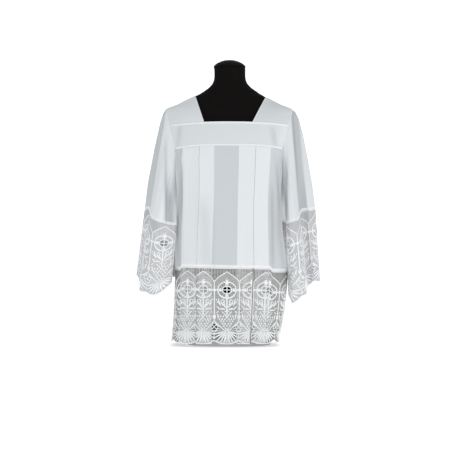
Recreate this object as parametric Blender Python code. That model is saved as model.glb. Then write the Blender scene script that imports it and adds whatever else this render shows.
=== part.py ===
"""A short white surplice with deep lace at hem and cuffs, on a black limbless dress form.

Metres, +Z up. The front faces -Y and +X is on the right of someone who looks at the front.
The origin is the centre of the dress form's flat base, on the floor. Left means the -X side.

The cloth is built as thin walls. Each piece has a middle surface, a grid of rows and columns,
and its wall is that grid moved half a thickness to either side. Pleats are a path in plan that
folds back on itself. The lace carries on from the panel that it hangs from, as a flat pattern
with its gaps cut out, laid on the same kind of grid.
"""
import bpy
import bmesh
import numpy as np
from mathutils import Vector
from mathutils.geometry import delaunay_2d_cdt

# Cloth and gaps
CLOTH = 0.0015
LACE = 0.0014
TAPE = 0.0012
GAP = 0.0004
LAYER = 0.0026          # from one layer of a pleat to the next

# Heights
YOKE_TOP = 0.787
YOKE_LOW = 0.704
YOKE_DROOP = 0.009      # how far the band's lower edge falls towards the armholes
BACK_TOP = 0.818
SEAM_Z = 0.279          # where the hem lace begins
HEM_Z = 0.007           # tips of the scallops
UNDERARM_Z = 0.600
TAPE_WIDE = 0.0062
TAPE_EDGE = 0.0006      # from the band's edge to its tape
TAPE_INSET = 0.15       # how far the tape's ends stop short, in columns of the band
BAND_LIFT = 0.0004      # how far the bands stand out from the panels

# Neck opening, half-widths
NECK_LOW = 0.084
NECK_BACK = 0.093
NECK_SIDE = 0.119
SHOULDER_IN_Z = 0.8775

# Dress form: height, half-width, half-depth, power of the superellipse
TORSO = np.array([
    (0.000, 0.146, 0.100, 2.3),
    (0.080, 0.150, 0.103, 2.3),
    (0.200, 0.153, 0.106, 2.3),
    (0.330, 0.149, 0.102, 2.3),
    (0.460, 0.141, 0.096, 2.3),
    (0.580, 0.152, 0.102, 2.4),
    (0.680, 0.172, 0.112, 2.6),
    (0.750, 0.191, 0.109, 2.8),
    (0.800, 0.203, 0.098, 2.8),
    (0.826, 0.2055, 0.088, 2.6),
    (0.841, 0.191, 0.078, 2.3),
    (0.852, 0.168, 0.071, 2.2),
    (0.863, 0.142, 0.067, 2.1),
    (0.874, 0.117, 0.064, 2.1),
    (0.886, 0.099, 0.062, 2.0),
    (0.899, 0.081, 0.060, 2.0),
    (0.914, 0.064, 0.057, 2.0),
    (0.932, 0.056, 0.055, 2.0),
    (0.955, 0.055, 0.055, 2.0),
    (0.9795, 0.0555, 0.0555, 2.0),
])
# Neck cap: height, radius
CAP = np.array([
    (0.9800, 0.0560),
    (0.9835, 0.0560),
    (0.9905, 0.0515),
    (0.9965, 0.0420),
    (1.0010, 0.0290),
    (1.0035, 0.0145),
])
CAP_TOP = 1.0045

# Garment as it hangs: height, centre in x, half-width, half-depth, power
DRAPE = np.array([
    (0.000, -0.012, 0.1855, 0.1322, 3.2),
    (0.140, -0.003, 0.1900, 0.1355, 3.2),
    (0.280, 0.006, 0.195, 0.139, 3.2),
    (0.400, 0.003, 0.187, 0.136, 3.2),
    (0.500, 0.000, 0.184, 0.133, 3.2),
    (0.600, 0.000, 0.190, 0.130, 3.2),
    (0.707, 0.000, 0.207, 0.126, 3.1),
    (0.760, 0.000, 0.2195, 0.120, 2.9),
    (0.800, 0.000, 0.2270, 0.111, 2.7),
    (0.833, 0.000, 0.2240, 0.094, 2.4),
    (0.848, 0.000, 0.1875, 0.085, 2.3),
    (0.863, 0.000, 0.1525, 0.077, 2.2),
    (0.8775, 0.000, 0.1190, 0.071, 2.2),
])

# Armhole, from the shoulder point down to the underarm: height, distance from the centre
ARMHOLE = np.array([
    (0.8330, 0.2240),
    (0.8260, 0.2215),
    (0.8080, 0.2170),
    (0.7910, 0.2125),
    (0.7620, 0.2060),
    (0.7300, 0.1970),
    (0.7020, 0.1890),
    (0.6700, 0.1870),
    (0.6380, 0.1870),
    (0.6130, 0.1885),
])

# Inverted box pleats, left to right at the hem seam: the slit where two folds meet, the left
# and right ends of the underlay behind it, and the place in the lace's repeat on either side
PLEATS = np.array([
    (-0.112, -0.166, -0.059, 0.90, 0.23),
    (0.087, 0.028, 0.142, 0.52, 0.00),
])
HIDDEN_LEAST = 1.9      # least number of arches that a pleat hides
SLIT = 0.0014           # half the distance between the two folds of a slit
FOLD_BACK = 0.0008      # how far the inner edge of each fold stands back from the slit
LEAN = 0.028            # how far the pleats drift to the left going down, as a share
REPEAT = 0.087          # width of one arch of the lace
SIDE_COLUMNS = 7
CENTRE_COLUMNS = 4
SIDE_SEAM = 0.0018      # from a panel's end to the side seam, as a share
STRIDE = 0.004          # half the chord that gives the outline's direction
OUTLINE_POINTS = 721
MITRE_LEAST = 0.3       # least share of the mitre's length that is divided by
HOLE_LEVELS = 60        # heights at which the armhole is met with the path
BODY_ROWS = np.array([0.0, 0.10, 0.30, 0.58, 0.82, 1.0])

# Sleeves: place round the tube from the outer line over the front, as a share of a turn,
# then distance out, depth and height of the lace seam, then the same of the lace's edge
LEFT_SLEEVE = np.array([
    (0.000, 0.298, 0.016, 0.4760, 0.326, 0.020, 0.246),
    (0.083, 0.292, -0.026, 0.4750, 0.325, -0.022, 0.236),
    (0.167, 0.277, -0.062, 0.4700, 0.312, -0.062, 0.206),
    (0.225, 0.268, -0.094, 0.4560, 0.296, -0.092, 0.182),
    (0.290, 0.250, -0.108, 0.4430, 0.276, -0.106, 0.176),
    (0.365, 0.224, -0.100, 0.4320, 0.246, -0.098, 0.186),
    (0.440, 0.202, -0.072, 0.4240, 0.217, -0.066, 0.214),
    (0.500, 0.1955, -0.034, 0.4220, 0.204, -0.026, 0.236),
    (0.583, 0.197, 0.010, 0.4240, 0.205, 0.018, 0.240),
    (0.667, 0.204, 0.052, 0.4300, 0.216, 0.058, 0.236),
    (0.750, 0.230, 0.086, 0.4420, 0.243, 0.086, 0.228),
    (0.833, 0.266, 0.090, 0.4580, 0.282, 0.090, 0.226),
    (0.917, 0.291, 0.058, 0.4720, 0.314, 0.060, 0.238),
])
RIGHT_SLEEVE = np.array([
    (0.000, 0.302, 0.010, 0.4800, 0.318, 0.012, 0.236),
    (0.083, 0.300, -0.032, 0.4790, 0.317, -0.028, 0.226),
    (0.150, 0.284, -0.064, 0.4760, 0.300, -0.060, 0.216),
    (0.195, 0.270, -0.060, 0.4700, 0.286, -0.058, 0.205),
    (0.240, 0.262, -0.088, 0.4560, 0.276, -0.088, 0.182),
    (0.310, 0.244, -0.108, 0.4480, 0.252, -0.108, 0.160),
    (0.390, 0.218, -0.098, 0.4420, 0.226, -0.096, 0.150),
    (0.460, 0.207, -0.058, 0.4380, 0.212, -0.054, 0.172),
    (0.540, 0.206, -0.008, 0.4360, 0.210, -0.004, 0.204),
    (0.620, 0.208, 0.038, 0.4380, 0.216, 0.042, 0.222),
    (0.710, 0.226, 0.080, 0.4460, 0.236, 0.082, 0.224),
    (0.810, 0.262, 0.092, 0.4600, 0.274, 0.092, 0.224),
    (0.910, 0.293, 0.056, 0.4740, 0.307, 0.058, 0.230),
])
SLEEVE_SIDES = 28
SLEEVE_ROWS = np.array([0.0, 0.05, 0.16, 0.34, 0.56, 0.78, 1.0])
CUFF_REPEATS = 3        # arches on each half of a cuff
FULLNESS = 0.010        # how far a sleeve's front and back swell below the shoulder
SEAM_STEP = 0.0009      # from the armhole's edge to the sleeve's first ring
UNDERARM_STEP = 0.0016  # added at the underarm, where sleeve and side hang side by side

# Lace, drops from its seam
SCALLOP_NOTCH = 0.015   # how far the notches stand above the tips
SCALLOP_MARKS = (0.0, 0.12, 0.30, 0.50, 0.70, 0.88)
RING_DROP = 0.082
RING_HALF_WIDE = 0.0325
RING_HALF_HIGH = 0.0285
CORD = 0.0034           # width of the raised cords between two gaps
EYE_HALF_WIDE = 0.0165
EYE_HALF_HIGH = 0.0148
FOLD_KEEP = 0.0026      # how far a gap keeps from a fold
LOZENGE_DROP = 0.215    # middle of the four small gaps under each pillar
LOZENGE_OUT = 0.0070    # from there to the middle of each
LOZENGE_SIZE = (0.0046, 0.0050)
EYE_ANGLES = (0.24, 1.33)
WINDOW_OUTER_ANGLES = (0.20, 1.37)
WINDOW_INNER_ANGLES = (1.30, 0.27)
ANGLE_POINTS = 3
LEAST_GAP = 0.0045
CUFF_TRIM = 0.0005      # each half of a cuff stands back from the other
SPREAD_DROPS = (0.028, 0.145, 0.180, 0.208)
SPREAD_EACH = 3         # loose points to a repeat at each of those drops
SPREAD_KEEP = 0.008     # how far they keep from the gaps
CREASE_KEEP = 0.0008    # how far the scallop's own points keep from a fold
PHASE_KEEP = 0.02


# ---------------------------------------------------------------- tools
def smooth(table, key):
    """Columns of a table at the given keys, as a cubic through its rows with mean slopes."""
    x = table[:, 0]
    y = table[:, 1:]
    key = np.clip(np.asarray(key, float), x[0], x[-1])
    step = np.diff(y, axis=0) / np.diff(x)[:, None]
    slope = np.vstack([step[:1], (step[1:] + step[:-1]) / 2, step[-1:]])
    i = np.clip(np.searchsorted(x, key, side="right") - 1, 0, len(x) - 2)
    h = (x[i + 1] - x[i])[..., None]
    t = (key[..., None] - x[i][..., None]) / h
    near = y[i] * (1 + 2 * t) * (1 - t) ** 2 + slope[i] * h * t * (1 - t) ** 2
    far = y[i + 1] * t * t * (3 - 2 * t) + slope[i + 1] * h * t * t * (t - 1)
    return near + far


def unit(v):
    """Vectors at length one."""
    return v / np.maximum(np.linalg.norm(v, axis=-1, keepdims=True), 1e-12)


def grid_normals(grid, closed):
    """Normals of a grid of points, from its neighbours along rows and columns."""
    if closed:
        across = np.roll(grid, -1, axis=1) - np.roll(grid, 1, axis=1)
    else:
        across = np.gradient(grid, axis=1)
    down = np.gradient(grid, axis=0)
    return unit(np.cross(across, down))


def walls(middle, thickness, closed=False, normals=None):
    """Outer and inner grids, half a thickness to either side of the middle one."""
    if normals is None:
        normals = grid_normals(middle, closed)
    return middle + normals * thickness / 2, middle - normals * thickness / 2


def material(name, colour, roughness):
    """Plain cloth finish."""
    made = bpy.data.materials.new(name)
    made.use_nodes = True
    shader = made.node_tree.nodes["Principled BSDF"]
    shader.inputs["Base Color"].default_value = (*colour, 1)
    shader.inputs["Roughness"].default_value = roughness
    shader.inputs["Metallic"].default_value = 0.0
    return made


def add_solid(name, points, faces, finish, smooth_angle=40):
    """One closed object, its faces turned outwards."""
    mesh = bpy.data.meshes.new(name)
    mesh.from_pydata([tuple(p) for p in points], [], [tuple(f) for f in faces])
    body = bmesh.new()
    body.from_mesh(mesh)
    bmesh.ops.recalc_face_normals(body, faces=body.faces)
    if body.calc_volume(signed=True) < 0:
        bmesh.ops.reverse_faces(body, faces=body.faces)
    body.to_mesh(mesh)
    body.free()
    mesh.shade_smooth()
    mesh.set_sharp_from_angle(angle=np.radians(smooth_angle))
    made = bpy.data.objects.new(name, mesh)
    made.data.materials.append(finish)
    bpy.context.scene.collection.objects.link(made)
    return made


def sheet_solid(name, outer, inner, finish, closed=False):
    """A wall between two grids, its rims closed by strips.

    Each quad is split from its upper left corner as seen in x, whichever way its row runs, so
    that layers lying close behind one another bend along the same lines.
    """
    rows, cols = outer.shape[:2]
    points = np.concatenate([outer.reshape(-1, 3), inner.reshape(-1, 3)])
    other = rows * cols
    spans = cols if closed else cols - 1
    faces = []
    for r in range(rows - 1):
        for c in range(spans):
            d = (c + 1) % cols
            a, b, e, f = r * cols + c, r * cols + d, (r + 1) * cols + d, (r + 1) * cols + c
            if outer[r, c, 0] <= outer[r, d, 0]:
                pair = ((a, b, e), (a, e, f))
            else:
                pair = ((a, b, f), (b, e, f))
            for i, j, k in pair:
                faces += [(i, j, k), (other + k, other + j, other + i)]
    rims = [(c, (c + 1) % cols) for c in range(spans)]
    low = (rows - 1) * cols
    for a, b in rims:
        faces.append((b, a, other + a, other + b))
        faces.append((low + a, low + b, other + low + b, other + low + a))
    if not closed:
        for r in range(rows - 1):
            a, b = r * cols, (r + 1) * cols
            faces.append((a, b, other + b, other + a))
            a, b = a + cols - 1, b + cols - 1
            faces.append((b, a, other + a, other + b))
    return add_solid(name, points, faces, finish)


# ---------------------------------------------------------------- dress form
def ring(half_wide, half_deep, power, sides):
    """A superellipse in plan, from +X towards the front."""
    angle = np.linspace(0, 2 * np.pi, sides, endpoint=False)
    x = np.sign(np.cos(angle)) * np.abs(np.cos(angle)) ** (2 / power)
    y = np.sign(np.sin(angle)) * np.abs(np.sin(angle)) ** (2 / power)
    return np.stack([half_wide * x, -half_deep * y], axis=-1)


def turned_body(name, rings, top, finish):
    """A closed body through level rings, with a flat base and a point or flat top."""
    sides = rings.shape[1]
    levels = len(rings)
    points = rings.reshape(-1, 3).tolist()
    faces = []
    for r in range(levels - 1):
        for c in range(sides):
            d = (c + 1) % sides
            faces.append((r * sides + c, r * sides + d, (r + 1) * sides + d, (r + 1) * sides + c))
    faces.append(tuple(reversed(range(sides))))
    last = (levels - 1) * sides
    if top is None:
        faces.append(tuple(range(last, last + sides)))
    else:
        points.append((0, 0, top))
        for c in range(sides):
            faces.append((last + c, last + (c + 1) % sides, last + sides))
    return add_solid(name, points, faces, finish)


def level_rings(table, sides):
    """Rings of the given sizes, each at its height."""
    rings = []
    for z, half_wide, half_deep, power in table:
        flat = ring(half_wide, half_deep, power, sides)
        rings.append(np.column_stack([flat, np.full(sides, z)]))
    return np.array(rings)


def dress_form(finish):
    """Torso and neck, one smooth turned body on a flat base."""
    turned_body("dress_form", level_rings(TORSO, 32), None, finish)


def neck_cap(finish):
    """Domed cap that closes the neck."""
    table = np.column_stack([CAP, CAP[:, 1], np.full(len(CAP), 2.0)])
    turned_body("neck_cap", level_rings(table, 28), CAP_TOP, finish)


# ---------------------------------------------------------------- garment surface
def depth_at(x, z, out=0.0):
    """How far the hanging cloth stands from the middle plane at x and z, moved out by `out`."""
    centre, wide, deep, power = np.moveaxis(smooth(DRAPE, z), -1, 0)
    share = np.clip(np.abs(x - centre) / (wide + out), 0, 1)
    return (deep + out) * (1 - share ** power) ** (1 / power)


def armhole_x(z):
    """Distance of the armhole's edge from the centre at a height."""
    table = ARMHOLE[::-1]
    return np.interp(z, table[:, 0], table[:, 1])


def band_low(share):
    """Height of the band's lower edge, by share of the way from centre to armhole."""
    return YOKE_LOW - YOKE_DROOP * np.abs(share) ** 3


def band_grid(face, top, rows=5, cols=17):
    """Middle surface of a band across the chest or back."""
    share = np.linspace(-1, 1, cols)[None, :]
    down = np.linspace(0, 1, rows)[:, None]
    low = band_low(share) + GAP
    z = top + (low - top) * down
    x = share * (armhole_x(z) - GAP)
    y = face * depth_at(x, z, BAND_LIFT - CLOTH / 2)
    return np.stack([x, y, z], axis=-1)


def tape_on(name, outer, normals, begin, end, finish):
    """Tape that lies on a band: its rows and columns read from the band's outer grid."""
    rows, cols = outer.shape[:2]
    col = np.concatenate([[TAPE_INSET], np.arange(1, cols - 1), [cols - 1 - TAPE_INSET]])
    grid = []
    for row in (begin, end):
        at = np.full(len(col), row * (rows - 1))
        out = unit(sample(normals, at, col))
        grid.append(sample(outer, at, col) + out * (GAP + TAPE / 2))
    sheet_solid(name, *walls(np.array(grid), TAPE), finish)


def bands(cloth, tape):
    """Yoke bands with a tape along each long edge, at front and back."""
    for word, face, top in (("front", -1, YOKE_TOP), ("back", 1, BACK_TOP)):
        grid = band_grid(face, top)
        normals = grid_normals(grid, False) * face
        outer, inner = walls(grid, CLOTH, normals=normals)
        sheet_solid(word + "_yoke", outer, inner, cloth)
        wide = TAPE_WIDE / (top - YOKE_LOW)
        edge = TAPE_EDGE / (top - YOKE_LOW)
        tape_on(word + "_neck_tape", outer, normals, edge, edge + wide, tape)
        tape_on(word + "_yoke_tape", outer, normals, 1 - edge - wide, 1 - edge, tape)


def shoulder_piece(name, side, cloth):
    """Plain piece over the shoulder, neck edge to armhole, front band to back band."""
    rows = []
    steps = 8
    across = np.linspace(0, 1, 7)
    for face, low, neck in ((-1, YOKE_TOP + GAP, NECK_LOW), (1, BACK_TOP + 2 * GAP, NECK_BACK)):
        part = []
        for t in 1 - (1 - np.arange(steps + 1) / steps) ** 2:
            z_in = low + (SHOULDER_IN_Z - low) * t
            x_in = neck + (NECK_SIDE - neck) * t
            z_out = low + (ARMHOLE[0, 0] - low) * t
            x_out = armhole_x(z_out) - GAP
            z = z_in + (z_out - z_in) * across
            x = x_in + (x_out - x_in) * across
            ridge = ridge_height(x)
            y = face * depth_at(x, np.minimum(z, ridge), -CLOTH / 2) if t < 1 else 0 * x
            part.append(np.stack([side * x, y, np.minimum(z, ridge) - CLOTH / 2 * t], axis=-1))
        rows += part if face < 0 else part[-2::-1]
    sheet_solid(name, *walls(np.array(rows), CLOTH), cloth)


def ridge_height(x):
    """Height of the shoulder line at a distance from the centre."""
    top = DRAPE[9:][::-1]
    return np.interp(x, top[:, 2], top[:, 0])


# ---------------------------------------------------------------- pleated panels
def half_section(z, face):
    """Fine outline of the cloth at height z from left side seam over the face to the right one."""
    centre, wide, deep, power = smooth(DRAPE, z)
    angle = np.linspace(np.pi, 0, OUTLINE_POINTS)
    x = np.sign(np.cos(angle)) * np.abs(np.cos(angle)) ** (2 / power) * wide + centre
    y = face * np.abs(np.sin(angle)) ** (2 / power) * deep
    length = np.concatenate([[0], np.cumsum(np.hypot(np.diff(x), np.diff(y)))])
    return x, y, length


def path_columns():
    """Columns of the pleated path, left to right, one row each.

    place   share of the way from the centre to a side seam
    layer   0 at the front, -1 for a fold behind it, -2 for an underlay
    phase   place in the lace's repeat
    seen    1 if the span to the next column is in view
    left, right, along   the flat of a pleat that the point lies on: its ends, as shares of the
                         same kind, and how far along it the point is; equal ends off a pleat
    """
    x, _, length = half_section(SEAM_Z, -1)
    middle = np.interp(0.0, x, length)
    marks = np.interp(PLEATS[:, :3], x, length) - middle
    hidden = np.nan
    columns = []

    def add(place, layer, phase, seen, left=0.0, right=0.0):
        if left == right:
            left, right, along = place, place, 0.0
        else:
            along = (place - left) / (right - left)
        columns.append((place, layer, phase, seen, left, right, along))

    def reach(start, end, count, mark, phase):
        """Even columns of the front layer; the phase is known at one mark."""
        for place in np.linspace(start, end, count):
            add(place, 0, phase + (place - mark) / REPEAT, 1)

    phase = PLEATS[0, 3]
    reach(-middle, marks[0, 1], SIDE_COLUMNS, marks[0, 0], phase)
    for k, (slit, left, right) in enumerate(marks):
        before, after = PLEATS[k, 3:]
        if k:
            phase += (slit - marks[k - 1, 0]) / REPEAT
        after += np.ceil(phase + HIDDEN_LEAST - after)
        near, far = (left, slit), (slit, right)
        add(slit - SLIT, 0, phase, 0, *near)
        add(slit - SLIT - FOLD_BACK, -1, hidden, 0, *near)
        add(left, -1, hidden, 0, *near)
        add(left, -2, hidden, 0, *near)
        add(slit, -2, hidden, 0)
        add(right, -2, hidden, 0, *far)
        add(right, -1, hidden, 0, *far)
        add(slit + SLIT + FOLD_BACK, -1, hidden, 0, *far)
        add(slit + SLIT, 0, after, 1, *far)
        phase = after
        last = k == len(marks) - 1
        end = length[-1] - middle if last else marks[k + 1, 1]
        reach(right, end, SIDE_COLUMNS if last else CENTRE_COLUMNS, slit, phase)
    table = np.array(columns, float)
    table[-1, 3] = 0
    run = np.hypot(np.diff(table[:, 0]), np.diff(table[:, 1]) * LAYER)
    at = np.concatenate([[0], np.cumsum(run)])
    known = ~np.isnan(table[:, 2])
    table[:, 2] = np.interp(at, at[known], table[known, 2])
    for column in (0, 4, 5):
        place = table[:, column]
        table[:, column] = np.where(place < 0, place / middle, place / (length[-1] - middle))
    return table


def leaned(share, z):
    """Shares of the columns at a height, drifted by the lean, which dies out at the side seams."""
    amount = LEAN * np.clip((z - SEAM_Z) / (UNDERARM_Z - SEAM_Z), 0, 1)
    return share + amount * (1 - share ** 2)


def plan_path(z, face, table):
    """The pleated path in plan at one height: its points and mitred normals."""
    x, y, length = half_section(z, face)
    middle = np.interp(0.0, x, length)

    def on_curve(share, ahead=0.0):
        share = leaned(share, z)
        place = middle + share * np.where(share < 0, middle, length[-1] - middle) + ahead
        return np.column_stack([np.interp(place, length, x), np.interp(place, length, y)])

    share, layer, left, right, along = table[:, [0, 1, 4, 5, 6]].T
    flat = right > left
    near, far = on_curve(left), on_curve(right)
    base = near + (far - near) * along[:, None]
    chord = np.where(flat[:, None], far - near, on_curve(share, STRIDE) - on_curve(share, -STRIDE))
    run = unit(chord)
    out = np.column_stack([run[:, 1], -run[:, 0]]) * -face
    path = base + out * (layer * LAYER - CLOTH / 2)[:, None]
    step = unit(np.diff(path, axis=0))
    turned = np.column_stack([step[:, 1], -step[:, 0]]) * -face
    before = np.vstack([turned[:1], turned])
    after = np.vstack([turned, turned[-1:]])
    mitre = before + after
    mitre = mitre / np.maximum((mitre * before).sum(axis=1, keepdims=True), MITRE_LEAST)
    return path, mitre


def pleated_grid(heights, face, table):
    """Middle surface and normals of a pleated panel; heights is a grid, one z a point."""
    rows, cols = heights.shape
    middle = np.zeros((rows, cols, 3))
    normal = np.zeros((rows, cols, 3))
    for r in range(rows):
        for z in np.unique(heights[r]):
            path, mitre = plan_path(z, face, table)
            same = heights[r] == z
            middle[r, same, :2] = path[same]
            middle[r, same, 2] = z
            normal[r, same, :2] = mitre[same]
    return middle, normal


def seam_columns():
    """The path's columns with both ends drawn back from the side seams."""
    table = path_columns()
    table[0, [0, 4, 5]] += SIDE_SEAM
    table[-1, [0, 4, 5]] -= SIDE_SEAM
    return table


def panel_top(table):
    """Height of a panel's upper edge: the band, then down the armhole to the underarm."""
    x, _, length = half_section(YOKE_LOW, -1)
    middle = np.interp(0.0, x, length)
    away = np.abs(leaned(table[:, 0], YOKE_LOW))
    levels = np.linspace(ARMHOLE[-1, 0], YOKE_LOW, HOLE_LEVELS)
    cut = []
    for z in levels:
        x_z, _, length_z = half_section(z, -1)
        half = np.interp(0.0, x_z, length_z)
        cut.append((np.interp(armhole_x(z), x_z, length_z) - half) / (length_z[-1] - half))
    cut = np.array(cut)
    order = np.argsort(cut)
    low = levels[0] - UNDERARM_Z
    past = np.clip((away - cut.max()) / (1 - cut.max()), 0, 1)
    met = np.interp(away, cut[order], levels[order])
    round_hole = np.where(past > 0, levels[0] - low * np.sqrt(past), met)
    x_at = np.interp(middle + away * (length[-1] - middle), length, x)
    band = band_low(np.clip(x_at / armhole_x(YOKE_LOW), 0, 1))
    return np.where(away < cut[-1], band, np.minimum(round_hole, band_low(1.0)))


def body_panel(word, face, cloth):
    """Pleated panel from the band and the armholes down to the lace."""
    table = seam_columns()
    top = panel_top(table) - GAP
    low = SEAM_Z + GAP / 2
    heights = top[None, :] + (low - top[None, :]) * BODY_ROWS[:, None]
    middle, normal = pleated_grid(heights, face, table)
    sheet_solid("body_" + word, *walls(middle, CLOTH, normals=normal), cloth)


# ---------------------------------------------------------------- lace
def arc(centre, half_wide, half_high, turn, angles):
    """Points on an ellipse between two angles, both turned on by `turn`."""
    angle = np.linspace(turn + angles[0], turn + angles[1], ANGLE_POINTS)
    return np.column_stack([
        centre[0] + half_wide * np.cos(angle),
        centre[1] + half_high * np.sin(angle),
    ])


def arch_gaps(centre):
    """Gaps of one arch: four quarters of the eye round a cross, four windows round them."""
    gaps = []
    bar = CORD / 2
    for quarter in range(4):
        turn = quarter * np.pi / 2
        sx, sy = ((1, 1), (-1, 1), (-1, -1), (1, -1))[quarter]
        corner = np.array([[centre[0] + sx * bar, centre[1] + sy * bar]])
        eye = arc(centre, EYE_HALF_WIDE - bar, EYE_HALF_HIGH - bar, turn, EYE_ANGLES)
        gaps.append(np.vstack([corner, eye]))
        far = arc(centre, RING_HALF_WIDE, RING_HALF_HIGH, turn, WINDOW_OUTER_ANGLES)
        near = arc(centre, EYE_HALF_WIDE + bar, EYE_HALF_HIGH + bar, turn, WINDOW_INNER_ANGLES)
        gaps.append(np.vstack([far, near]))
    return gaps


def pillar_gaps():
    """Four small lozenges, one on each side of a point under the pillar."""
    wide, high = LOZENGE_SIZE
    ring = np.array([(wide, 0), (0, high), (-wide, 0), (0, -high)])
    out = np.array([(0, 1), (1, 0), (0, -1), (-1, 0)]) * LOZENGE_OUT
    return [ring + step - [0, LOZENGE_DROP] for step in out]


def clip_side(polygon, limit, keep_below):
    """The part of a polygon on one side of an upright line."""
    kept = []
    for here, after in zip(polygon, np.roll(polygon, -1, axis=0)):
        here_in = here[0] <= limit if keep_below else here[0] >= limit
        after_in = after[0] <= limit if keep_below else after[0] >= limit
        if here_in:
            kept.append(here)
        if here_in != after_in:
            t = (limit - here[0]) / (after[0] - here[0])
            kept.append(here + (after - here) * t)
    return np.array(kept).reshape(-1, 2)


def inside(points, polygon):
    """Which points lie in a polygon, by crossings of a level ray."""
    hit = np.zeros(len(points), bool)
    for a, b in zip(polygon, np.roll(polygon, -1, axis=0)):
        spans = (a[1] > points[:, 1]) != (b[1] > points[:, 1])
        rise = b[1] - a[1] if abs(b[1] - a[1]) > 1e-12 else 1e-12
        at = a[0] + (points[:, 1] - a[1]) * (b[0] - a[0]) / rise
        hit ^= spans & (points[:, 0] < at)
    return hit


def sample(grid, row, col):
    """Points of a grid at fractional rows and columns."""
    r = np.clip(np.floor(row).astype(int), 0, grid.shape[0] - 2)
    c = np.clip(np.floor(col).astype(int), 0, grid.shape[1] - 2)
    u = (row - r)[:, None]
    v = (col - c)[:, None]
    upper = grid[r, c] * (1 - v) + grid[r, c + 1] * v
    lower = grid[r + 1, c] * (1 - v) + grid[r + 1, c + 1] * v
    return upper * (1 - u) + lower * u


def scallop(phase):
    """Rise of the lace's edge above its tips, by place in the repeat: a round tip and a notch."""
    part = np.mod(phase, 1.0)
    return SCALLOP_NOTCH * np.abs(2 * part - 1) ** 3


def flat_outline(at, phase, creases, deep):
    """Scalloped lower edge and straight upper edge of a strip of lace, as two rows of points."""
    whole = np.arange(np.floor(phase[0]) - 1, np.ceil(phase[-1]) + 1)
    marks = np.add.outer(whole, SCALLOP_MARKS).ravel()
    marks = marks[(marks > phase[0] + PHASE_KEEP) & (marks < phase[-1] - PHASE_KEEP)]
    edge = np.interp(marks, phase, at)
    if len(creases):
        edge = edge[np.abs(edge[:, None] - creases[None, :]).min(axis=1) > CREASE_KEEP]
    edge = np.unique(np.concatenate([at[[0, -1]], edge, creases]))
    rise = scallop(np.interp(edge, at, phase))
    return np.column_stack([edge, rise - deep]), np.column_stack([at, 0 * at])


def spread_points(at, phase, seen, gaps):
    """Loose points between the gaps that keep the triangles of a curved panel short."""
    made = []
    for a, b in seen_spans(seen):
        count = int((at[b] - at[a]) / REPEAT * SPREAD_EACH)
        for drop in SPREAD_DROPS:
            for s in np.linspace(at[a], at[b], count + 1)[1:-1]:
                made.append((s, -drop))
    made = np.array(made)
    rims = np.vstack(gaps)
    far = np.hypot(*(made[:, None] - rims[None]).transpose(2, 0, 1)).min(axis=1) > SPREAD_KEEP
    return made[far]


def cut_lace(name, outer, inner, at, table, creases, deep, finish):
    """Lace wall: the flat pattern is cut and triangulated, then laid on a two-row grid.

    at gives each column's place along the flat lace; the table gives its phase and view.
    """
    phase, seen = table[:, 2], table[:, 3] > 0
    gaps = panel_gaps(at, phase, seen)
    bottom, top = flat_outline(at, phase, creases, deep)
    outline = np.vstack([bottom, top[::-1]])
    points = [Vector(p) for p in outline]
    edges = [(i, (i + 1) % len(outline)) for i in range(len(outline))]
    for s in creases:
        first = int(np.argmin(np.abs(bottom[:, 0] - s)))
        last = len(outline) - 1 - int(np.argmin(np.abs(top[:, 0] - s)))
        edges.append((first, last))
    for gap in gaps:
        base = len(points)
        points += [Vector(p) for p in gap]
        edges += [(base + i, base + (i + 1) % len(gap)) for i in range(len(gap))]
    points += [Vector(p) for p in spread_points(at, phase, seen, gaps)]
    found, _, triangles, _, _, _ = delaunay_2d_cdt(points, edges, [], 0, 1e-7)
    flat = np.array([(p.x, p.y) for p in found])
    triangles = np.array([t for t in triangles])
    centre = flat[triangles].mean(axis=1)
    keep = inside(centre, outline)
    for gap in gaps:
        keep &= ~inside(centre, gap)
    triangles = triangles[keep]
    used = np.unique(triangles)
    renumber = np.zeros(len(flat), int)
    renumber[used] = np.arange(len(used))
    flat = flat[used]
    triangles = renumber[triangles]
    col = np.interp(flat[:, 0], at, np.arange(len(at)))
    row = np.clip(-flat[:, 1] / deep, 0, 1)
    count = len(flat)
    edge_pairs = np.concatenate([triangles[:, [0, 1]], triangles[:, [1, 2]], triangles[:, [2, 0]]])
    directed = set(map(tuple, edge_pairs.tolist()))
    faces = triangles.tolist() + (count + triangles[:, ::-1]).tolist()
    for a, b in sorted(directed):
        if (b, a) not in directed:
            faces += [(b, a, count + a), (b, count + a, count + b)]
    return add_solid(name, np.vstack([sample(outer, row, col), sample(inner, row, col)]), faces, finish)


def seen_spans(seen):
    """First and last column of each run of spans in view."""
    spans = []
    start = None
    for i, view in enumerate(seen):
        if view and start is None:
            start = i
        if not view and start is not None:
            spans.append((start, i))
            start = None
    return spans


def panel_gaps(at, phase, seen):
    """Gaps of every arch and pillar in view, each cut short where its panel folds back."""
    gaps = []
    for a, b in seen_spans(seen):
        left, right = at[a] + FOLD_KEEP, at[b] - FOLD_KEEP
        per_repeat = (at[b] - at[a]) / (phase[b] - phase[a])
        stretch = np.array([per_repeat / REPEAT, 1])
        for whole in range(int(np.floor(phase[a])), int(np.ceil(phase[b])) + 1):
            pillar = at[a] + (whole - phase[a]) * per_repeat
            placed = [gap * stretch + [pillar + per_repeat / 2, 0] for gap in arch_gaps((0.0, -RING_DROP))]
            placed += [gap * stretch + [pillar, 0] for gap in pillar_gaps()]
            for gap in placed:
                gap = clip_side(clip_side(gap, right, True), left, False)
                if len(gap) > 2 and np.ptp(gap, axis=0).min() > LEAST_GAP:
                    gaps.append(gap)
    return gaps


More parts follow.
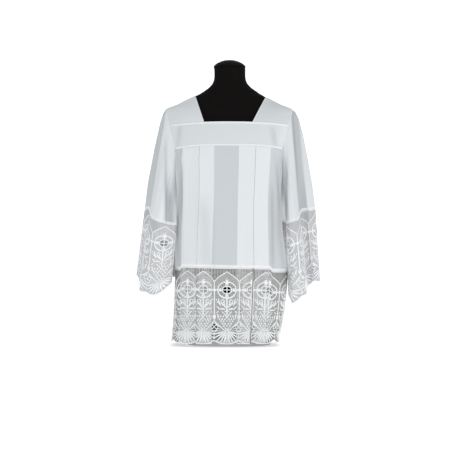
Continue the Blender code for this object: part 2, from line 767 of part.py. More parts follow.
def hem_lace(word, face, lace):
    """Hem lace, pleated with the panel above it, on straight lines from seam to edge."""
    table = seam_columns()
    deep = SEAM_Z - GAP / 2 - HEM_Z
    heights = np.array([[SEAM_Z - GAP / 2], [HEM_Z]]) + np.zeros((2, len(table)))
    middle, normal = pleated_grid(heights, face, table)
    outer, inner = walls(middle, LACE, normals=normal)
    run = np.linalg.norm(np.diff(middle[0], axis=0), axis=1)
    at = np.concatenate([[0], np.cumsum(run)])
    folded = (table[:, 5] > table[:, 4]) | (table[:, 1] < 0)
    on_flat = np.isclose(table[:, 0, None], table[folded, 0]).any(axis=1)
    cut_lace("hem_lace_" + word, outer, inner, at, table, at[on_flat], deep, lace)


# ---------------------------------------------------------------- sleeves
def armhole_ring(turn):
    """Armhole's edge by share of a turn, from the shoulder point down the front and up the back."""
    away = np.minimum(turn, 1 - turn) * 2
    z_fine = np.concatenate([ARMHOLE[:, 0], [UNDERARM_Z]])
    x_fine = np.concatenate([ARMHOLE[:, 1], [smooth(DRAPE, UNDERARM_Z)[1]]])
    y_fine = depth_at(x_fine, z_fine, -CLOTH / 2)
    y_fine[0] = 0.0
    y_fine[-1] = 0.0
    run = np.sqrt(np.diff(x_fine) ** 2 + np.diff(y_fine) ** 2 + np.diff(z_fine) ** 2)
    length = np.concatenate([[0], np.cumsum(run)])
    at = away * length[-1]
    x = np.interp(at, length, x_fine)
    y = np.interp(at, length, y_fine)
    z = np.interp(at, length, z_fine)
    front = np.where(turn <= 0.5, -1, 1)
    return np.column_stack([x, front * y, z])


def closed_smooth(table, turn):
    """Columns of a closed table at the given shares of a turn, smooth across its ends."""
    wrapped = np.vstack([table[-3:], table, table[:3]])
    wrapped[:3, 0] -= 1
    wrapped[-3:, 0] += 1
    return smooth(wrapped, turn)


def sleeve_rings(table, side):
    """Armhole, lace seam and lace edge of a sleeve, ring by ring."""
    turn = np.arange(SLEEVE_SIDES) / SLEEVE_SIDES
    sizes = closed_smooth(table, turn)
    seam = sizes[:, 0:3] * np.array([side, 1, 1])
    edge = sizes[:, 3:6] * np.array([side, 1, 1])
    hole = armhole_ring(turn) * np.array([side, 1, 1])
    hole[:, 0] += side * (SEAM_STEP + UNDERARM_STEP * np.sin(np.pi * turn) ** 4)
    return hole, seam, edge


def sleeve(word, side, table, cloth):
    """Sleeve from the armhole to the lace, with a soft fullness below the shoulder."""
    hole, seam, _ = sleeve_rings(table, side)
    t = SLEEVE_ROWS[:, None, None]
    middle = hole + (seam + np.array([0, 0, GAP / 2]) - hole) * t
    turn = np.arange(SLEEVE_SIDES) / SLEEVE_SIDES
    swell = FULLNESS * np.sin(np.pi * SLEEVE_ROWS)[:, None] * np.abs(np.sin(2 * np.pi * turn))
    middle[:, :, 1] += swell * np.where(turn < 0.5, -1, 1)
    normals = grid_normals(middle, True) * (1 if side > 0 else -1)
    sheet_solid("sleeve_" + word, *walls(middle, CLOTH, normals=normals), cloth, closed=True)


def cuff_lace(word, side, table, lace):
    """Cuff lace, front and back halves of one tube, three arches each."""
    _, seam, edge = sleeve_rings(table, side)
    middle = np.array([seam - np.array([0, 0, GAP / 2]), edge])
    normals = grid_normals(middle, True) * (1 if side > 0 else -1)
    half = SLEEVE_SIDES // 2
    for half_name, first in (("front", 0), ("back", half)):
        columns = np.arange(first, first + half + 1) % SLEEVE_SIDES
        outer, inner = walls(middle[:, columns], LACE, normals=normals[:, columns])
        outer, inner = (shorten(g, CUFF_TRIM) for g in (outer, inner))
        centre = (outer + inner) / 2
        run = np.linalg.norm(np.diff(centre.mean(axis=0), axis=0), axis=1)
        at = np.concatenate([[0], np.cumsum(run)])
        deep = np.linalg.norm(centre[1] - centre[0], axis=1).mean()
        table_half = np.ones((len(at), 4))
        table_half[:, 2] = at / at[-1] * CUFF_REPEATS
        table_half[-1, 3] = 0
        name = f"cuff_lace_{word}_{half_name}"
        cut_lace(name, outer, inner, at, table_half, np.zeros(0), deep, lace)


def shorten(grid, trim):
    """A grid whose first and last columns stand back from the neighbouring piece."""
    made = grid.copy()
    made[:, 0] += unit(grid[:, 1] - grid[:, 0]) * trim
    made[:, -1] += unit(grid[:, -2] - grid[:, -1]) * trim
    return made


# ---------------------------------------------------------------- the part
def build():
    """Clear the scene and build every piece."""
    for old in list(bpy.data.objects):
        bpy.data.objects.remove(old)
    cloth = material("white_cloth", (0.86, 0.88, 0.89), 0.75)
    lace = material("white_lace", (0.88, 0.88, 0.90), 0.70)
    tape = material("white_tape", (0.90, 0.92, 0.93), 0.60)
    black = material("black_jersey", (0.012, 0.010, 0.009), 0.85)
    cap = material("black_cap", (0.014, 0.012, 0.011), 0.55)
    dress_form(black)
    neck_cap(cap)
    bands(cloth, tape)
    shoulder_piece("shoulder_left", -1, cloth)
    shoulder_piece("shoulder_right", 1, cloth)
    for word, face in (("front", -1), ("back", 1)):
        body_panel(word, face, cloth)
        hem_lace(word, face, lace)
    for word, side, table in (("left", -1, LEFT_SLEEVE), ("right", 1, RIGHT_SLEEVE)):
        sleeve(word, side, table, cloth)
        cuff_lace(word, side, table, lace)


build()
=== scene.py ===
"""A white surplice with lace hem and cuffs on a black limbless dress form.

Metres, +Z up, the front faces -Y and left means the -X side. The cloth is a set of sheets, each a
surface over two parameters. Lace is drawn flat, as strands over a net, and then laid on its sheet.
"""
from functools import partialmethod

import bpy
import numpy as np
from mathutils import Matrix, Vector


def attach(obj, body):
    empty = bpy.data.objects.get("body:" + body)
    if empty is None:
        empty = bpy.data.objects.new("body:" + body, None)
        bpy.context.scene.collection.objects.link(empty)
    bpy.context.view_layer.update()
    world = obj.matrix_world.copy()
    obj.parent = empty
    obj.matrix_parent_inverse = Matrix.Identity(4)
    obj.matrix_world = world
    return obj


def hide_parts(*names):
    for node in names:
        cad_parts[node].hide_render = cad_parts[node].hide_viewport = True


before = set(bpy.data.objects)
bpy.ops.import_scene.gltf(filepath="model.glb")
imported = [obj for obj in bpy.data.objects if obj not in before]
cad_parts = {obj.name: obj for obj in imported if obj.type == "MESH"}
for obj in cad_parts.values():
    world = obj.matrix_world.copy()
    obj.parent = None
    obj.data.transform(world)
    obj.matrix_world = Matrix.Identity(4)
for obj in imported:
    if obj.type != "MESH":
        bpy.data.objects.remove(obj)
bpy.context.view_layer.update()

# ---------------------------------------------------------------- sizes of the garment
LAYER = 0.0026          # from one layer of a pleat to the next
SKIN = 0.0005           # how far a sheet lies inside its solid's outer face
YOKE_TOP = 0.7815       # front band, middle of its upper edge
YOKE_LOW = 0.697
YOKE_DROOP = 0.0115     # how far a band's lower edge falls towards the armholes
BACK_TOP = 0.818
SEAM_Z = 0.2805         # seam between panel and hem lace
HEM_Z = 0.0115          # tips of the scallops
UNDERARM_Z = 0.600
BAND_LIFT = 0.0004
TAPE_WIDE = 0.0062
# Half-width of the neck by side: at the front band, at the back band, on the shoulder
NECK_LOW = {-1: 0.0865, 1: 0.0815}
NECK_BACK = 0.093
NECK_SIDE = {-1: 0.1195, 1: 0.1300}
FOOT_HIGH = 0.0225      # pale board under the form
PANEL_TOP = 0.715       # where the pleated surfaces begin
STEP_ACROSS = 0.0035    # between the columns of a pleated surface
STEP_DOWN = 0.006       # between its rows
FOLD_EDGE = 0.0012      # from a fold to the next column

# The tables divided by 1000 are in millimetres, with turns and shares in thousandths; powers are
# as they are.
# Dress form: height, half-width, half-depth, power of the superellipse
TORSO = np.array([
    (0, 146, 100, 2.3),
    (80, 150, 103, 2.3),
    (200, 153, 106, 2.3),
    (330, 149, 102, 2.3),
    (460, 141, 96, 2.3),
    (580, 152, 102, 2.4),
    (680, 172, 112, 2.6),
    (750, 191, 109, 2.8),
    (800, 203, 98, 2.8),
    (826, 205.5, 88, 2.6),
    (841, 191, 78, 2.3),
    (852, 168, 71, 2.2),
    (863, 142, 67, 2.1),
    (878.5, 123.5, 64, 2.1),
    (886, 108, 62, 2.0),
    (894.5, 95.5, 60, 2.0),
    (908.5, 76, 58, 2.0),
    (923, 62.5, 56, 2.0),
    (940, 56, 55, 2.0),
    (955, 55, 55, 2.0),
    (979.5, 55.5, 55.5, 2.0),
]) / (1000, 1000, 1000, 1)
# How far the form's middle stands to the right at a height
FORM_LEAN = np.array([(840, 0), (863, 0.8), (878.5, 2.2), (893, 4.2), (905, 4),
                      (930, 3.2), (972, 3), (982, 2)]) / 1000
# Neck cap: place along its profile, radius, height
CAP = np.array([
    (0, 40, 980.1),
    (100, 55.6, 980.1),
    (160, 56.3, 980.8),
    (240, 56.4, 985.2),
    (300, 55.8, 986.4),
    (340, 54.9, 986.8),
    (420, 53.5, 988.4),
    (550, 49, 992.6),
    (700, 38.5, 998.7),
    (850, 21.5, 1005),
    (1000, 0, 1007.6),
]) / 1000

# Garment as it hangs: height, centre in x, half-width, half-depth, power
DRAPE = np.array([
    (0, -15, 189, 132.2, 3.2),
    (140, 2, 196, 135.5, 3.2),
    (280, 8, 198.5, 139, 3.2),
    (400, 0.8, 190.5, 136, 3.2),
    (500, -0.6, 184.5, 133, 3.2),
    (600, 0, 189, 130, 3.2),
    (707, 0, 207, 126, 3.1),
    (760, 0, 219.5, 120, 2.9),
    (800, 0, 227, 111, 2.7),
    (833, 0, 224, 94, 2.4),
    (848, 0, 187.5, 85, 2.3),
    (866, 0, 152.5, 77, 2.2),
    (882.5, 0, 116, 71, 2.2),
]) / (1000, 1000, 1000, 1000, 1)
# Armhole, from the shoulder point down: height, distance from the centre
ARMHOLE = np.array([
    (833, 224),
    (826, 221.5),
    (808, 217),
    (791, 212.5),
    (762, 206),
    (730, 197),
    (702, 189),
    (670, 187),
    (638, 187),
    (613, 188.5),
]) / 1000
# Inverted box pleats at the hem seam: the slit where two folds meet, the left and right ends of
# the underlay behind it, the place in the lace's repeat on either side of the slit, and half the
# slit's width
PLEATS = np.array([
    (-0.112, -0.166, -0.059, 0.90, 0.23, 0.0004),
    (0.0855, 0.028, 0.1385, 0.57, 0.00, 0.0004),
])
# How far the lace's repeat is ahead on the single layers: left, middle, right
AHEAD = (-0.78, 0.055, 0.83)
HIDDEN_LEAST = 1.9      # arches hidden in a pleat, at least
FOLD_BACK = 0.0006      # sideways, where the cloth turns back at a slit
LEAN = 0.028            # drift of the pleats from hem seam to underarm, as a share
REPEAT = 0.087          # width of one arch

# Sleeves: share of a turn from the outer line over the front, then distance out, depth and
# height of the lace seam, then the same of the lace's edge
LEFT_SLEEVE = np.array([
    (0, 298, 16, 478, 326, 20, 246),
    (83, 292, -26, 478, 325, -22, 236),
    (165, 278, -62, 476, 314, -62, 206),
    (195, 272, -86, 453, 306, -78, 192),
    (235, 262, -98, 445, 294, -94, 180),
    (295, 244, -108, 437, 272, -106, 176),
    (365, 214, -108, 430, 240, -102, 186),
    (440, 187, -94, 425, 208, -80, 214),
    (500, 190, -46, 422, 203.5, -34, 236),
    (583, 192, 8, 424, 204, 16, 240),
    (650, 191, 56, 429, 199, 60, 237),
    (720, 177, 96, 436, 185, 100, 233),
    (770, 216, 102, 446, 226, 104, 229),
    (833, 266, 90, 458, 282, 90, 226),
    (917, 291, 58, 472, 314, 60, 238),
]) / 1000
RIGHT_SLEEVE = np.array([
    (0, 303, 10, 480, 318, 12, 236),
    (83, 300, -32, 479, 317, -28, 226),
    (150, 278, -64, 475, 298, -60, 216),
    (200, 252, -62, 470, 280, -58, 205),
    (235, 243, -88, 447, 268, -88, 182),
    (300, 226, -106, 439, 247, -108, 160),
    (380, 204, -102, 433, 216, -98, 150),
    (450, 199, -70, 430, 207, -64, 172),
    (520, 204.5, -14, 430, 214, -6, 204),
    (600, 205, 36, 434, 215, 42, 222),
    (640, 186.4, 70, 438.3, 217, 82, 222.5),
    (675, 176, 95, 442, 204, 108, 223),
    (740, 220, 100, 452, 232, 102, 224),
    (810, 262, 92, 460, 274, 92, 224),
    (910, 293, 56, 474, 307, 58, 230),
]) / 1000
SEAM_STEP = -0.0008     # from the armhole's edge to the sleeve, at the shoulder point
UNDERARM_STEP = 0.0016  # added to it under the arm
FULLNESS = 0.010        # how far a sleeve swells to the front and back
# How far a sleeve's outer line swells outwards, by share of the way down
OUTER_SWELL = {
    "left": np.array([(0, 0), (40, 6.5), (140, 10.5), (400, 12), (750, 9.5), (1000, 1.5)]) / 1000,
    "right": np.array([(0, 0), (30, 10), (100, 16.5), (250, 19), (500, 16), (760, 11),
                       (1000, 2)]) / 1000,
}
CUFF_REPEATS = 6        # arches all round a cuff
SLEEVE_DROP = 0.36      # a sleeve's length as its seam cord and its heading are laid by

# Lace, drops from its seam
DEEP = SEAM_Z - HEM_Z
HALF = REPEAT / 2
ARCH_TOP = 0.0130
ARCH_SLOPE = 0.030      # how far the pointed arch falls before it steepens
PILLAR_TOP = 0.0490
PILLAR_FOOT = 0.187
RING_DROP = 0.0775
RING = np.array([0.0318, 0.0288])
EYE = np.array([0.0162, 0.0138])
CORD = 0.0021           # half-width of the main cords
LOZENGE_DROP = 0.2075
LOZENGE_OUT = 0.0070
LOZENGE_SIZE = np.array([0.0046, 0.0050])
FAN_DROP = 0.2205
V_DEEP = 0.0385         # from the pillars' feet to the bottom of the V between them
SCALLOP_NOTCH = 0.013
# Pitches of the net: threads of the square ground across and down, round holes across and down
POSTS, RUNGS = 0.00512, 0.0043
HOLES, HOLE_ROWS = 0.00435, 0.0037
NET_COLUMNS = 36        # of one arch
NET_ROWS = 113


# ---------------------------------------------------------------- tools
def smooth(table, key):
    """Columns of a table at the given keys: a cubic through its rows with mean slopes."""
    x, y = table[:, 0], table[:, 1:]
    key = np.clip(np.asarray(key, float), x[0], x[-1])
    step = np.diff(y, axis=0) / np.diff(x)[:, None]
    slope = np.vstack([step[:1], (step[1:] + step[:-1]) / 2, step[-1:]])
    i = np.clip(np.searchsorted(x, key, side="right") - 1, 0, len(x) - 2)
    h = (x[i + 1] - x[i])[..., None]
    t = (key[..., None] - x[i][..., None]) / h
    near = y[i] * (1 + 2 * t) * (1 - t) ** 2 + slope[i] * h * t * (1 - t) ** 2
    far = y[i + 1] * t * t * (3 - 2 * t) + slope[i + 1] * h * t * t * (t - 1)
    return near + far


def unit(v):
    """Vectors at length one."""
    return v / np.maximum(np.linalg.norm(v, axis=-1, keepdims=True), 1e-12)


def ease(t):
    """Smooth step from 0 to 1: 3t^2 - 2t^3 between the ends."""
    t = np.clip(t, 0, 1)
    return t * t * (3 - 2 * t)


def run_length(path):
    """Length along a path of points from its start to each of them."""
    return np.concatenate([[0], np.cumsum(np.linalg.norm(np.diff(path, axis=0), axis=1))])


def sample(grid, row, col):
    """A grid at fractional rows and columns, bilinear."""
    r = np.clip(np.floor(row).astype(int), 0, grid.shape[0] - 2)
    c = np.clip(np.floor(col).astype(int), 0, grid.shape[1] - 2)
    u, v = (row - r)[..., None], (col - c)[..., None]
    upper = grid[r, c] * (1 - v) + grid[r, c + 1] * v
    lower = grid[r + 1, c] * (1 - v) + grid[r + 1, c + 1] * v
    return upper * (1 - u) + lower * u


def grid_normals(grid, closed=False):
    """Normals of a grid: across its columns times down its rows."""
    if closed:
        across = np.roll(grid, -1, axis=1) - np.roll(grid, 1, axis=1)
    else:
        across = np.gradient(grid, axis=1)
    return unit(np.cross(across, np.gradient(grid, axis=0)))


def placed(name, data):
    """An object made of a mesh, a lamp or a lens, in the scene."""
    made = bpy.data.objects.new(name, data)
    bpy.context.scene.collection.objects.link(made)
    return made


def put_mesh(name, points, quads, finish, uv=None, shade=None, flip=False):
    """One piece: points (n, 3), faces (m, 4), a flat place for each point or for each face's
    corners, and a number for each point that its finish reads: how much the dark form is seen
    through it, and the painted shade and painted glow there."""
    quads = np.asarray(quads, np.int64)
    used, quads = np.unique(quads, return_inverse=True)
    quads = quads.reshape(-1, 4)
    points = np.asarray(points)[used]
    if flip:
        quads = quads[:, ::-1]
    mesh = bpy.data.meshes.new(name)
    mesh.vertices.add(len(points))
    mesh.vertices.foreach_set("co", points.astype(np.float32).ravel())
    mesh.loops.add(quads.size)
    mesh.loops.foreach_set("vertex_index", quads.astype(np.int32).ravel())
    mesh.polygons.add(len(quads))
    mesh.polygons.foreach_set("loop_start", np.arange(0, quads.size, 4, dtype=np.int32))
    mesh.update(calc_edges=True)
    mesh.polygons.foreach_set("use_smooth", np.ones(len(quads), bool))
    if uv is not None:
        layer = mesh.uv_layers.new(name="flat")
        corners = uv[:, ::-1] if uv.ndim == 3 and flip else uv
        corners = corners if uv.ndim == 3 else uv[used][quads]
        layer.data.foreach_set("uv", corners.astype(np.float32).ravel())
    if shade is not None:
        field = mesh.attributes.new("show_shade_and_glow", "FLOAT", "POINT")
        field.data.foreach_set("value", np.broadcast_to(shade, used.max() + 1)[used].astype(np.float32))
    mesh.validate()
    mesh.materials.append(finish)
    made = placed(name, mesh)
    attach(made, "root")
    return made


def declare(made, slot, *nodes):
    """Hides the solids that a piece replaces; the piece and its slot are not used."""
    if nodes:
        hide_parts(*nodes)


def grid_quads(rows, cols, closed=False):
    """Faces of a grid, row by row; the last column joins the first where it is closed."""
    c = np.arange(cols if closed else cols - 1)
    d = (c + 1) % cols
    top = (np.arange(rows - 1) * cols)[:, None]
    quads = np.stack([top + c, top + d, top + cols + d, top + cols + c], axis=-1)
    return quads.reshape(-1, 4)


def put_sheet(name, points, normals, shade, closed=False):
    """A grid of cotton whose faces turn the way its first normal does."""
    ahead = points[0, 0] + normals[0, 0]
    laid = points[:, :-1] if closed else points
    return put_mesh(name, laid.reshape(-1, 3), grid_quads(*laid.shape[:2], closed), COTTON,
                    shade=np.ravel(shade), flip=faces_inward(points, ahead))


def faces_inward(grid, ahead):
    """True if a grid's first face turns away from a point ahead of it."""
    a, b, c, d = grid[0, 0], grid[0, 1], grid[1, 1], grid[1, 0]
    return np.cross(c - a, d - b) @ (ahead - a) < 0


# ---------------------------------------------------------------- outline of the hanging cloth
def depth_at(x, z, out=0.0):
    """How far the cloth stands from the middle plane: a superellipse at each height."""
    centre, wide, deep, power = np.moveaxis(smooth(DRAPE, z), -1, 0)
    share = np.clip(np.abs(x - centre) / (wide + out), 0, 1)
    return (deep + out) * (1 - share ** power) ** (1 / power)


def armhole_x(z):
    """Distance of the armhole's edge from the centre at a height."""
    table = ARMHOLE[::-1]
    return np.interp(z, table[:, 0], table[:, 1])


def band_low(share):
    """Height of the band's lower edge by share of the way from centre to armhole."""
    return YOKE_LOW - YOKE_DROOP * np.abs(share) ** 3


def band_top(share, face, top):
    """Height of the band's upper edge: at the front it falls a little towards the armholes."""
    return top - (0.0078 * np.abs(share) ** 2.2 if face < 0 else 0 * share)


def superellipse(angle, wide, deep, power):
    """x and y on a superellipse at an angle: cosine and sine to the power 2/power, signs kept."""
    c, s = np.cos(angle), np.sin(angle)
    return np.sign(c) * np.abs(c) ** (2 / power) * wide, np.sign(s) * np.abs(s) ** (2 / power) * deep


def half_section(z, face):
    """Fine outline at height z from left side seam over the face to the right, and its length."""
    centre, wide, deep, power = smooth(DRAPE, z)
    x, y = superellipse(np.linspace(np.pi, 0, 721), wide, deep, power)
    x, y = x + centre, face * y
    return x, y, run_length(np.column_stack([x, y]))


# ---------------------------------------------------------------- pleated panels
def path_runs():
    """The pleated path as runs, left to right.

    Each run goes from one place and layer to another, on the flat between two marks or on the
    curve where the marks are equal, and knows the lace's phase at its ends.
    """
    x, _, length = half_section(SEAM_Z, -1)
    middle = np.interp(0.0, x, length)
    marks = np.interp(PLEATS[:, :3], x, length) - middle
    runs = []
    start, phase = -middle, PLEATS[0, 3]
    mark = marks[0, 0]
    for k, (slit, left, right) in enumerate(marks):
        at_start = phase + (start - mark) / REPEAT + AHEAD[0] * (k == 0)
        at_end = phase + (left - mark) / REPEAT + AHEAD[0] * (k == 0)
        before = phase + (slit - mark) / REPEAT
        at_left = before + (left - slit) / REPEAT
        after = PLEATS[k, 4]
        after += np.ceil(before + HIDDEN_LEAST - after)
        near, far = slit - PLEATS[k, 5], slit + PLEATS[k, 5]
        runs += [
            (start, 0, left, 0, 0, 0, at_start, at_end),
            (left, 0, near, 0, left, slit, at_left, before),
        ]
        # behind the slit: from its left edge back to the underlay, and out again to its right edge
        for flat, way in (
            ((left, slit), [(near, 0), (near - FOLD_BACK, -1), (left, -1), (left, -2), (slit, -2)]),
            ((slit, right), [(slit, -2), (right, -2), (right, -1), (far + FOLD_BACK, -1), (far, 0)]),
        ):
            runs += [(*a, *b, *flat, None, None) for a, b in zip(way, way[1:])]
        runs.append((far, 0, right, 0, slit, right, after, after + (right - slit) / REPEAT))
        start, phase, mark = right, after + AHEAD[k + 1], slit
    end = length[-1] - middle
    runs.append((start, 0, end, 0, 0, 0, phase + (start - mark) / REPEAT,
                 phase + (end - mark) / REPEAT))
    return runs, middle, end


def path_columns():
    """Fine columns along the runs: place, layer, flat's ends and how far along, length and phase."""
    runs, to_left, to_right = path_runs()
    rows, spans, length = [], [], 0.0
    for a, layer_a, b, layer_b, left, right, phase_a, phase_b in runs:
        run = np.hypot(b - a, (layer_b - layer_a) * LAYER)
        count = max(int(np.ceil(run / STEP_ACROSS)), 1)
        t = np.linspace(0, 1, count + 1)
        if run > 5 * STEP_ACROSS:
            t = np.unique(np.concatenate([t, [FOLD_EDGE / run, 1 - FOLD_EDGE / run]]))
        first = sum(len(r) for r in rows)
        known = phase_a is not None
        phase = phase_a + (phase_b - phase_a) * t if known else t * np.nan
        place = a + (b - a) * t
        layer = layer_a + (layer_b - layer_a) * t
        if left == right:
            ends = np.stack([place, place, 0 * t])
        else:
            ends = np.stack([0 * t + left, 0 * t + right, (place - left) / (right - left)])
        block = np.column_stack([place, layer, *ends, length + run * t, phase])
        rows.append(block[:-1] if len(rows) < len(runs) - 1 else block)
        spans.append((first, first + len(t) - 1, layer_a if layer_a == layer_b else None))
        length += run
    table = np.vstack(rows)
    known = ~np.isnan(table[:, 6])
    table[:, 6] = np.interp(table[:, 5], table[known, 5], table[known, 6])
    for column in (0, 2, 3):
        place = table[:, column]
        table[:, column] = np.where(place < 0, place / to_left, place / to_right)
    return table, spans


def leaned(share, z):
    """Shares of the columns at a height, drifted to the left going down."""
    rise = np.clip((z - SEAM_Z) / (UNDERARM_Z - SEAM_Z), 0, 1)
    to_right = 0.042 * rise * ease(share / 0.7) * ease((1 - share) / 0.2)
    to_left = 0.030 * ease((z - 0.64) / 0.06) * ease(-share / 0.7) * ease((1 + share) / 0.15)
    return share + LEAN * rise * (1 - share ** 2) + to_right + to_left


def crease(x, z, x0, z0, x1, z1, wide, high):
    """A soft ridge of height `high` (a trough if negative) along a line, fading at its ends."""
    t = (z0 - z) / (z0 - z1)
    d = (x - x0 - (x1 - x0) * t) / wide
    return high * np.exp(-d * d) * ease(3 * t) * ease(3 * (1 - t))


# Creases of the panels: a line from x and height to x and height, its half-width, and its height,
# which is below zero for a trough
FRONT_CREASES = np.array([
    (-150, 700, -176, 300, 12, 2.2),
    (-83, 520, -66, 120, 11, -2.4),
    (-70, 480, -48, 150, 12, 1.6),
    (60, 500, 52, 80, 14, -1.6),
    (118, 660, 124, 240, 16, 1.6),
    (150, 700, 176, 400, 10, 3.6),
    (162, 700, 178, 520, 8, -2),
    (-160, 690, -185, 560, 10, 2.6),
    (4, 350, -2, 40, 20, 2),
    (-140, 330, -146, 0, 14, 2.4),
    (160, 400, 152, 0, 14, -2.6),
]) / 1000
BACK_CREASES = np.array([
    (-140, 700, -170, 320, 14, 3),
    (-30, 560, -40, 100, 18, 2),
    (10, 600, 16, 60, 20, -2),
    (60, 520, 58, 100, 14, 1.8),
    (128, 690, 146, 300, 14, 2.8),
    (-90, 450, -100, 30, 14, -1.8),
    (160, 700, 182, 480, 12, 3.2),
]) / 1000
# Painted shade on panels and bands, along soft folds: lines as above, with a strength in the place of
# the height
BODY_SHADE = np.array([
    (-88, 560, -80, 200, 22, 550),
    (-162, 780, -163, 200, 7, 400),
    (149, 620, 151, 200, 7, 450),
]) / 1000
YOKE_SHADE = np.array([
    (-168, 790, -181, 670, 9, 550),
    (147, 780, 165, 670, 10, 600),
]) / 1000


def creases(x, z, rows):
    """All creases of a table together."""
    return sum(crease(x, z, *row) for row in rows)


def plan_path(z, face, table):
    """The path in plan at one height, its unit normals, and the direction straight out."""
    x, y, length = half_section(z, face)
    middle = np.interp(0.0, x, length)

    def on_curve(share, ahead=0.0):
        share = leaned(share, z)
        place = middle + share * np.where(share < 0, middle, length[-1] - middle) + ahead
        return np.column_stack([np.interp(place, length, x), np.interp(place, length, y)])

    share, layer, left, right, along = table[:, :5].T
    flat = (right > left)[:, None]
    near, far = on_curve(left), on_curve(right)
    base = near + (far - near) * along[:, None]
    run = unit(np.where(flat, far - near, on_curve(share, 0.004) - on_curve(share, -0.004)))
    out = np.column_stack([run[:, 1], -run[:, 0]]) * -face
    push = creases(base[:, 0], z, FRONT_CREASES if face < 0 else BACK_CREASES)
    push = push * ease((1 - np.abs(share)) / 0.08)
    path = base + out * (layer * LAYER - SKIN + push)[:, None]
    step = unit(np.diff(path, axis=0))
    turned = np.column_stack([step[:, 1], -step[:, 0]]) * -face
    normal = unit(np.vstack([turned[:1], turned]) + np.vstack([turned, turned[-1:]]))
    return path, normal


class Surface:
    """A sheet's own surface: points and normals on a grid whose columns have places along the
    flat cloth and whose rows have drops down it."""

    def __init__(self, points, normals, at, drop):
        self.points, self.normals, self.at, self.drop = points, normals, at, drop

    def lay(self, at, drop, out=0.0):
        """Points of the flat cloth laid on the surface, moved out along its normals."""
        col = np.interp(at, self.at, np.arange(len(self.at)))
        row = np.interp(drop, self.drop, np.arange(len(self.drop)))
        normal = unit(sample(self.normals, row, col))
        return sample(self.points, row, col) + normal * np.asarray(out)[..., None]


def pleated_surface(face, table):
    """The pleated path at every height from the panel's top to the floor, as one surface."""
    heights = np.linspace(PANEL_TOP, 0.0, int(np.ceil(PANEL_TOP / STEP_DOWN)) + 1)
    paths = [plan_path(z, face, table) for z in heights]
    level = np.repeat(heights[:, None], len(table), axis=1)
    points = np.stack([np.column_stack([p, h]) for (p, _), h in zip(paths, level)])
    normals = np.stack([np.column_stack([n, 0 * h]) for (_, n), h in zip(paths, level)])
    return Surface(points, normals, table[:, 5], PANEL_TOP - heights)


def panel_top(table):
    """Height of a panel's upper edge: the band, then down the armhole to the underarm."""
    x, _, length = half_section(YOKE_LOW, -1)
    middle = np.interp(0.0, x, length)
    away = np.abs(leaned(table[:, 0], YOKE_LOW))
    levels = np.linspace(ARMHOLE[-1, 0], YOKE_LOW, 60)
    cut = []
    for z in levels:
        x_z, _, length_z = half_section(z, -1)
        half = np.interp(0.0, x_z, length_z)
        cut.append((np.interp(armhole_x(z), x_z, length_z) - half) / (length_z[-1] - half))
    cut = np.array(cut)
    order = np.argsort(cut)
    low = levels[0] - UNDERARM_Z
    past = np.clip((away - cut.max()) / (1 - cut.max()), 0, 1)
    met = np.interp(away, cut[order], levels[order])
    round_hole = np.where(past > 0, levels[0] - low * np.sqrt(past), met)
    x_at = np.interp(middle + away * (length[-1] - middle), length, x)
    band = band_low(np.clip(x_at / armhole_x(YOKE_LOW), 0, 1))
    return np.where(away < cut[-1], band + 0.004, np.minimum(round_hole, band_low(1.0)))


# ---------------------------------------------------------------- lace, drawn flat
# u runs across one arch from its middle, v is the drop from the seam. A strand is a path in the
# flat with a half-width and a height at each point, and its section is a low rounded ridge.
SECTION = np.array([(-1.0, 0.0), (-0.55, 0.9), (0.55, 0.9), (1.0, 0.0)])
SUNK = 0.0002


def line(start, end, count=2):
    """Straight path."""
    t = np.linspace(0, 1, count)[:, None]
    return np.asarray(start) * (1 - t) + np.asarray(end) * t


def bow(start, end, bend, count=7):
    """Path from start to end that swells sideways by `bend` as a parabola."""
    start, end = np.asarray(start, float), np.asarray(end, float)
    t = np.linspace(0, 1, count)[:, None]
    side = unit(end - start)[::-1] * np.array([-1, 1])
    return start * (1 - t) + end * t + side * bend * 4 * t * (1 - t)


def oval(centre, half, begin, end, count):
    """Path on an ellipse between two angles."""
    angle = np.linspace(begin, end, count)
    return np.asarray(centre) + np.column_stack([np.cos(angle), np.sin(angle)]) * half


def curl(centre, wide, begin, turns, shrink, count=12):
    """Spiral path that closes in on its centre."""
    t = np.linspace(0, 1, count)
    angle = begin + turns * 2 * np.pi * t
    radius = wide * (1 - shrink * t)
    return np.asarray(centre) + np.column_stack([np.cos(angle), np.sin(angle)]) * radius[:, None]


def strand(path, half, high):
    """Points (u, v, out) and faces of one strand; half and high are numbers or one a point."""
    path = np.asarray(path, float)
    count = len(path)
    along = unit(np.gradient(path, axis=0))
    across = np.column_stack([-along[:, 1], along[:, 0]])
    half = np.broadcast_to(half, count)[:, None, None]
    high = np.broadcast_to(high, count)[:, None]
    flat = path[:, None] + across[:, None] * half * SECTION[None, :, :1]
    points = np.concatenate([flat, (high * SECTION[:, 1] - SUNK)[..., None]], axis=-1)
    quads = grid_quads(count, 4, closed=True)
    ends = [(3, 2, 1, 0), tuple((count - 1) * 4 + i for i in range(4))]
    return points.reshape(-1, 3), np.vstack([quads, ends])


def leaf(path, wide, high=0.0011):
    """Leaf: half-width and height swell and fall as a sine along the path."""
    t = np.linspace(0.03, 0.97, len(path))
    swell = np.sin(np.pi * t) ** 0.7
    return strand(path, wide * swell, high * (0.35 + 0.65 * swell))


def berry(centre, wide, tall, high=0.0012):
    """Small oval knob."""
    t = np.linspace(-0.94, 0.94, 5)
    swell = np.sqrt(1 - t * t)
    path = np.asarray(centre) + np.column_stack([0 * t, tall * t])
    return strand(path, wide * swell, high * (0.3 + 0.7 * swell))


def arch_drop(u):
    """Drop of the pointed arch: a straight slope that steepens to the pillar."""
    share = np.abs(u) / HALF
    return ARCH_TOP + ARCH_SLOPE * share + (PILLAR_TOP - ARCH_TOP - ARCH_SLOPE) * share ** 6


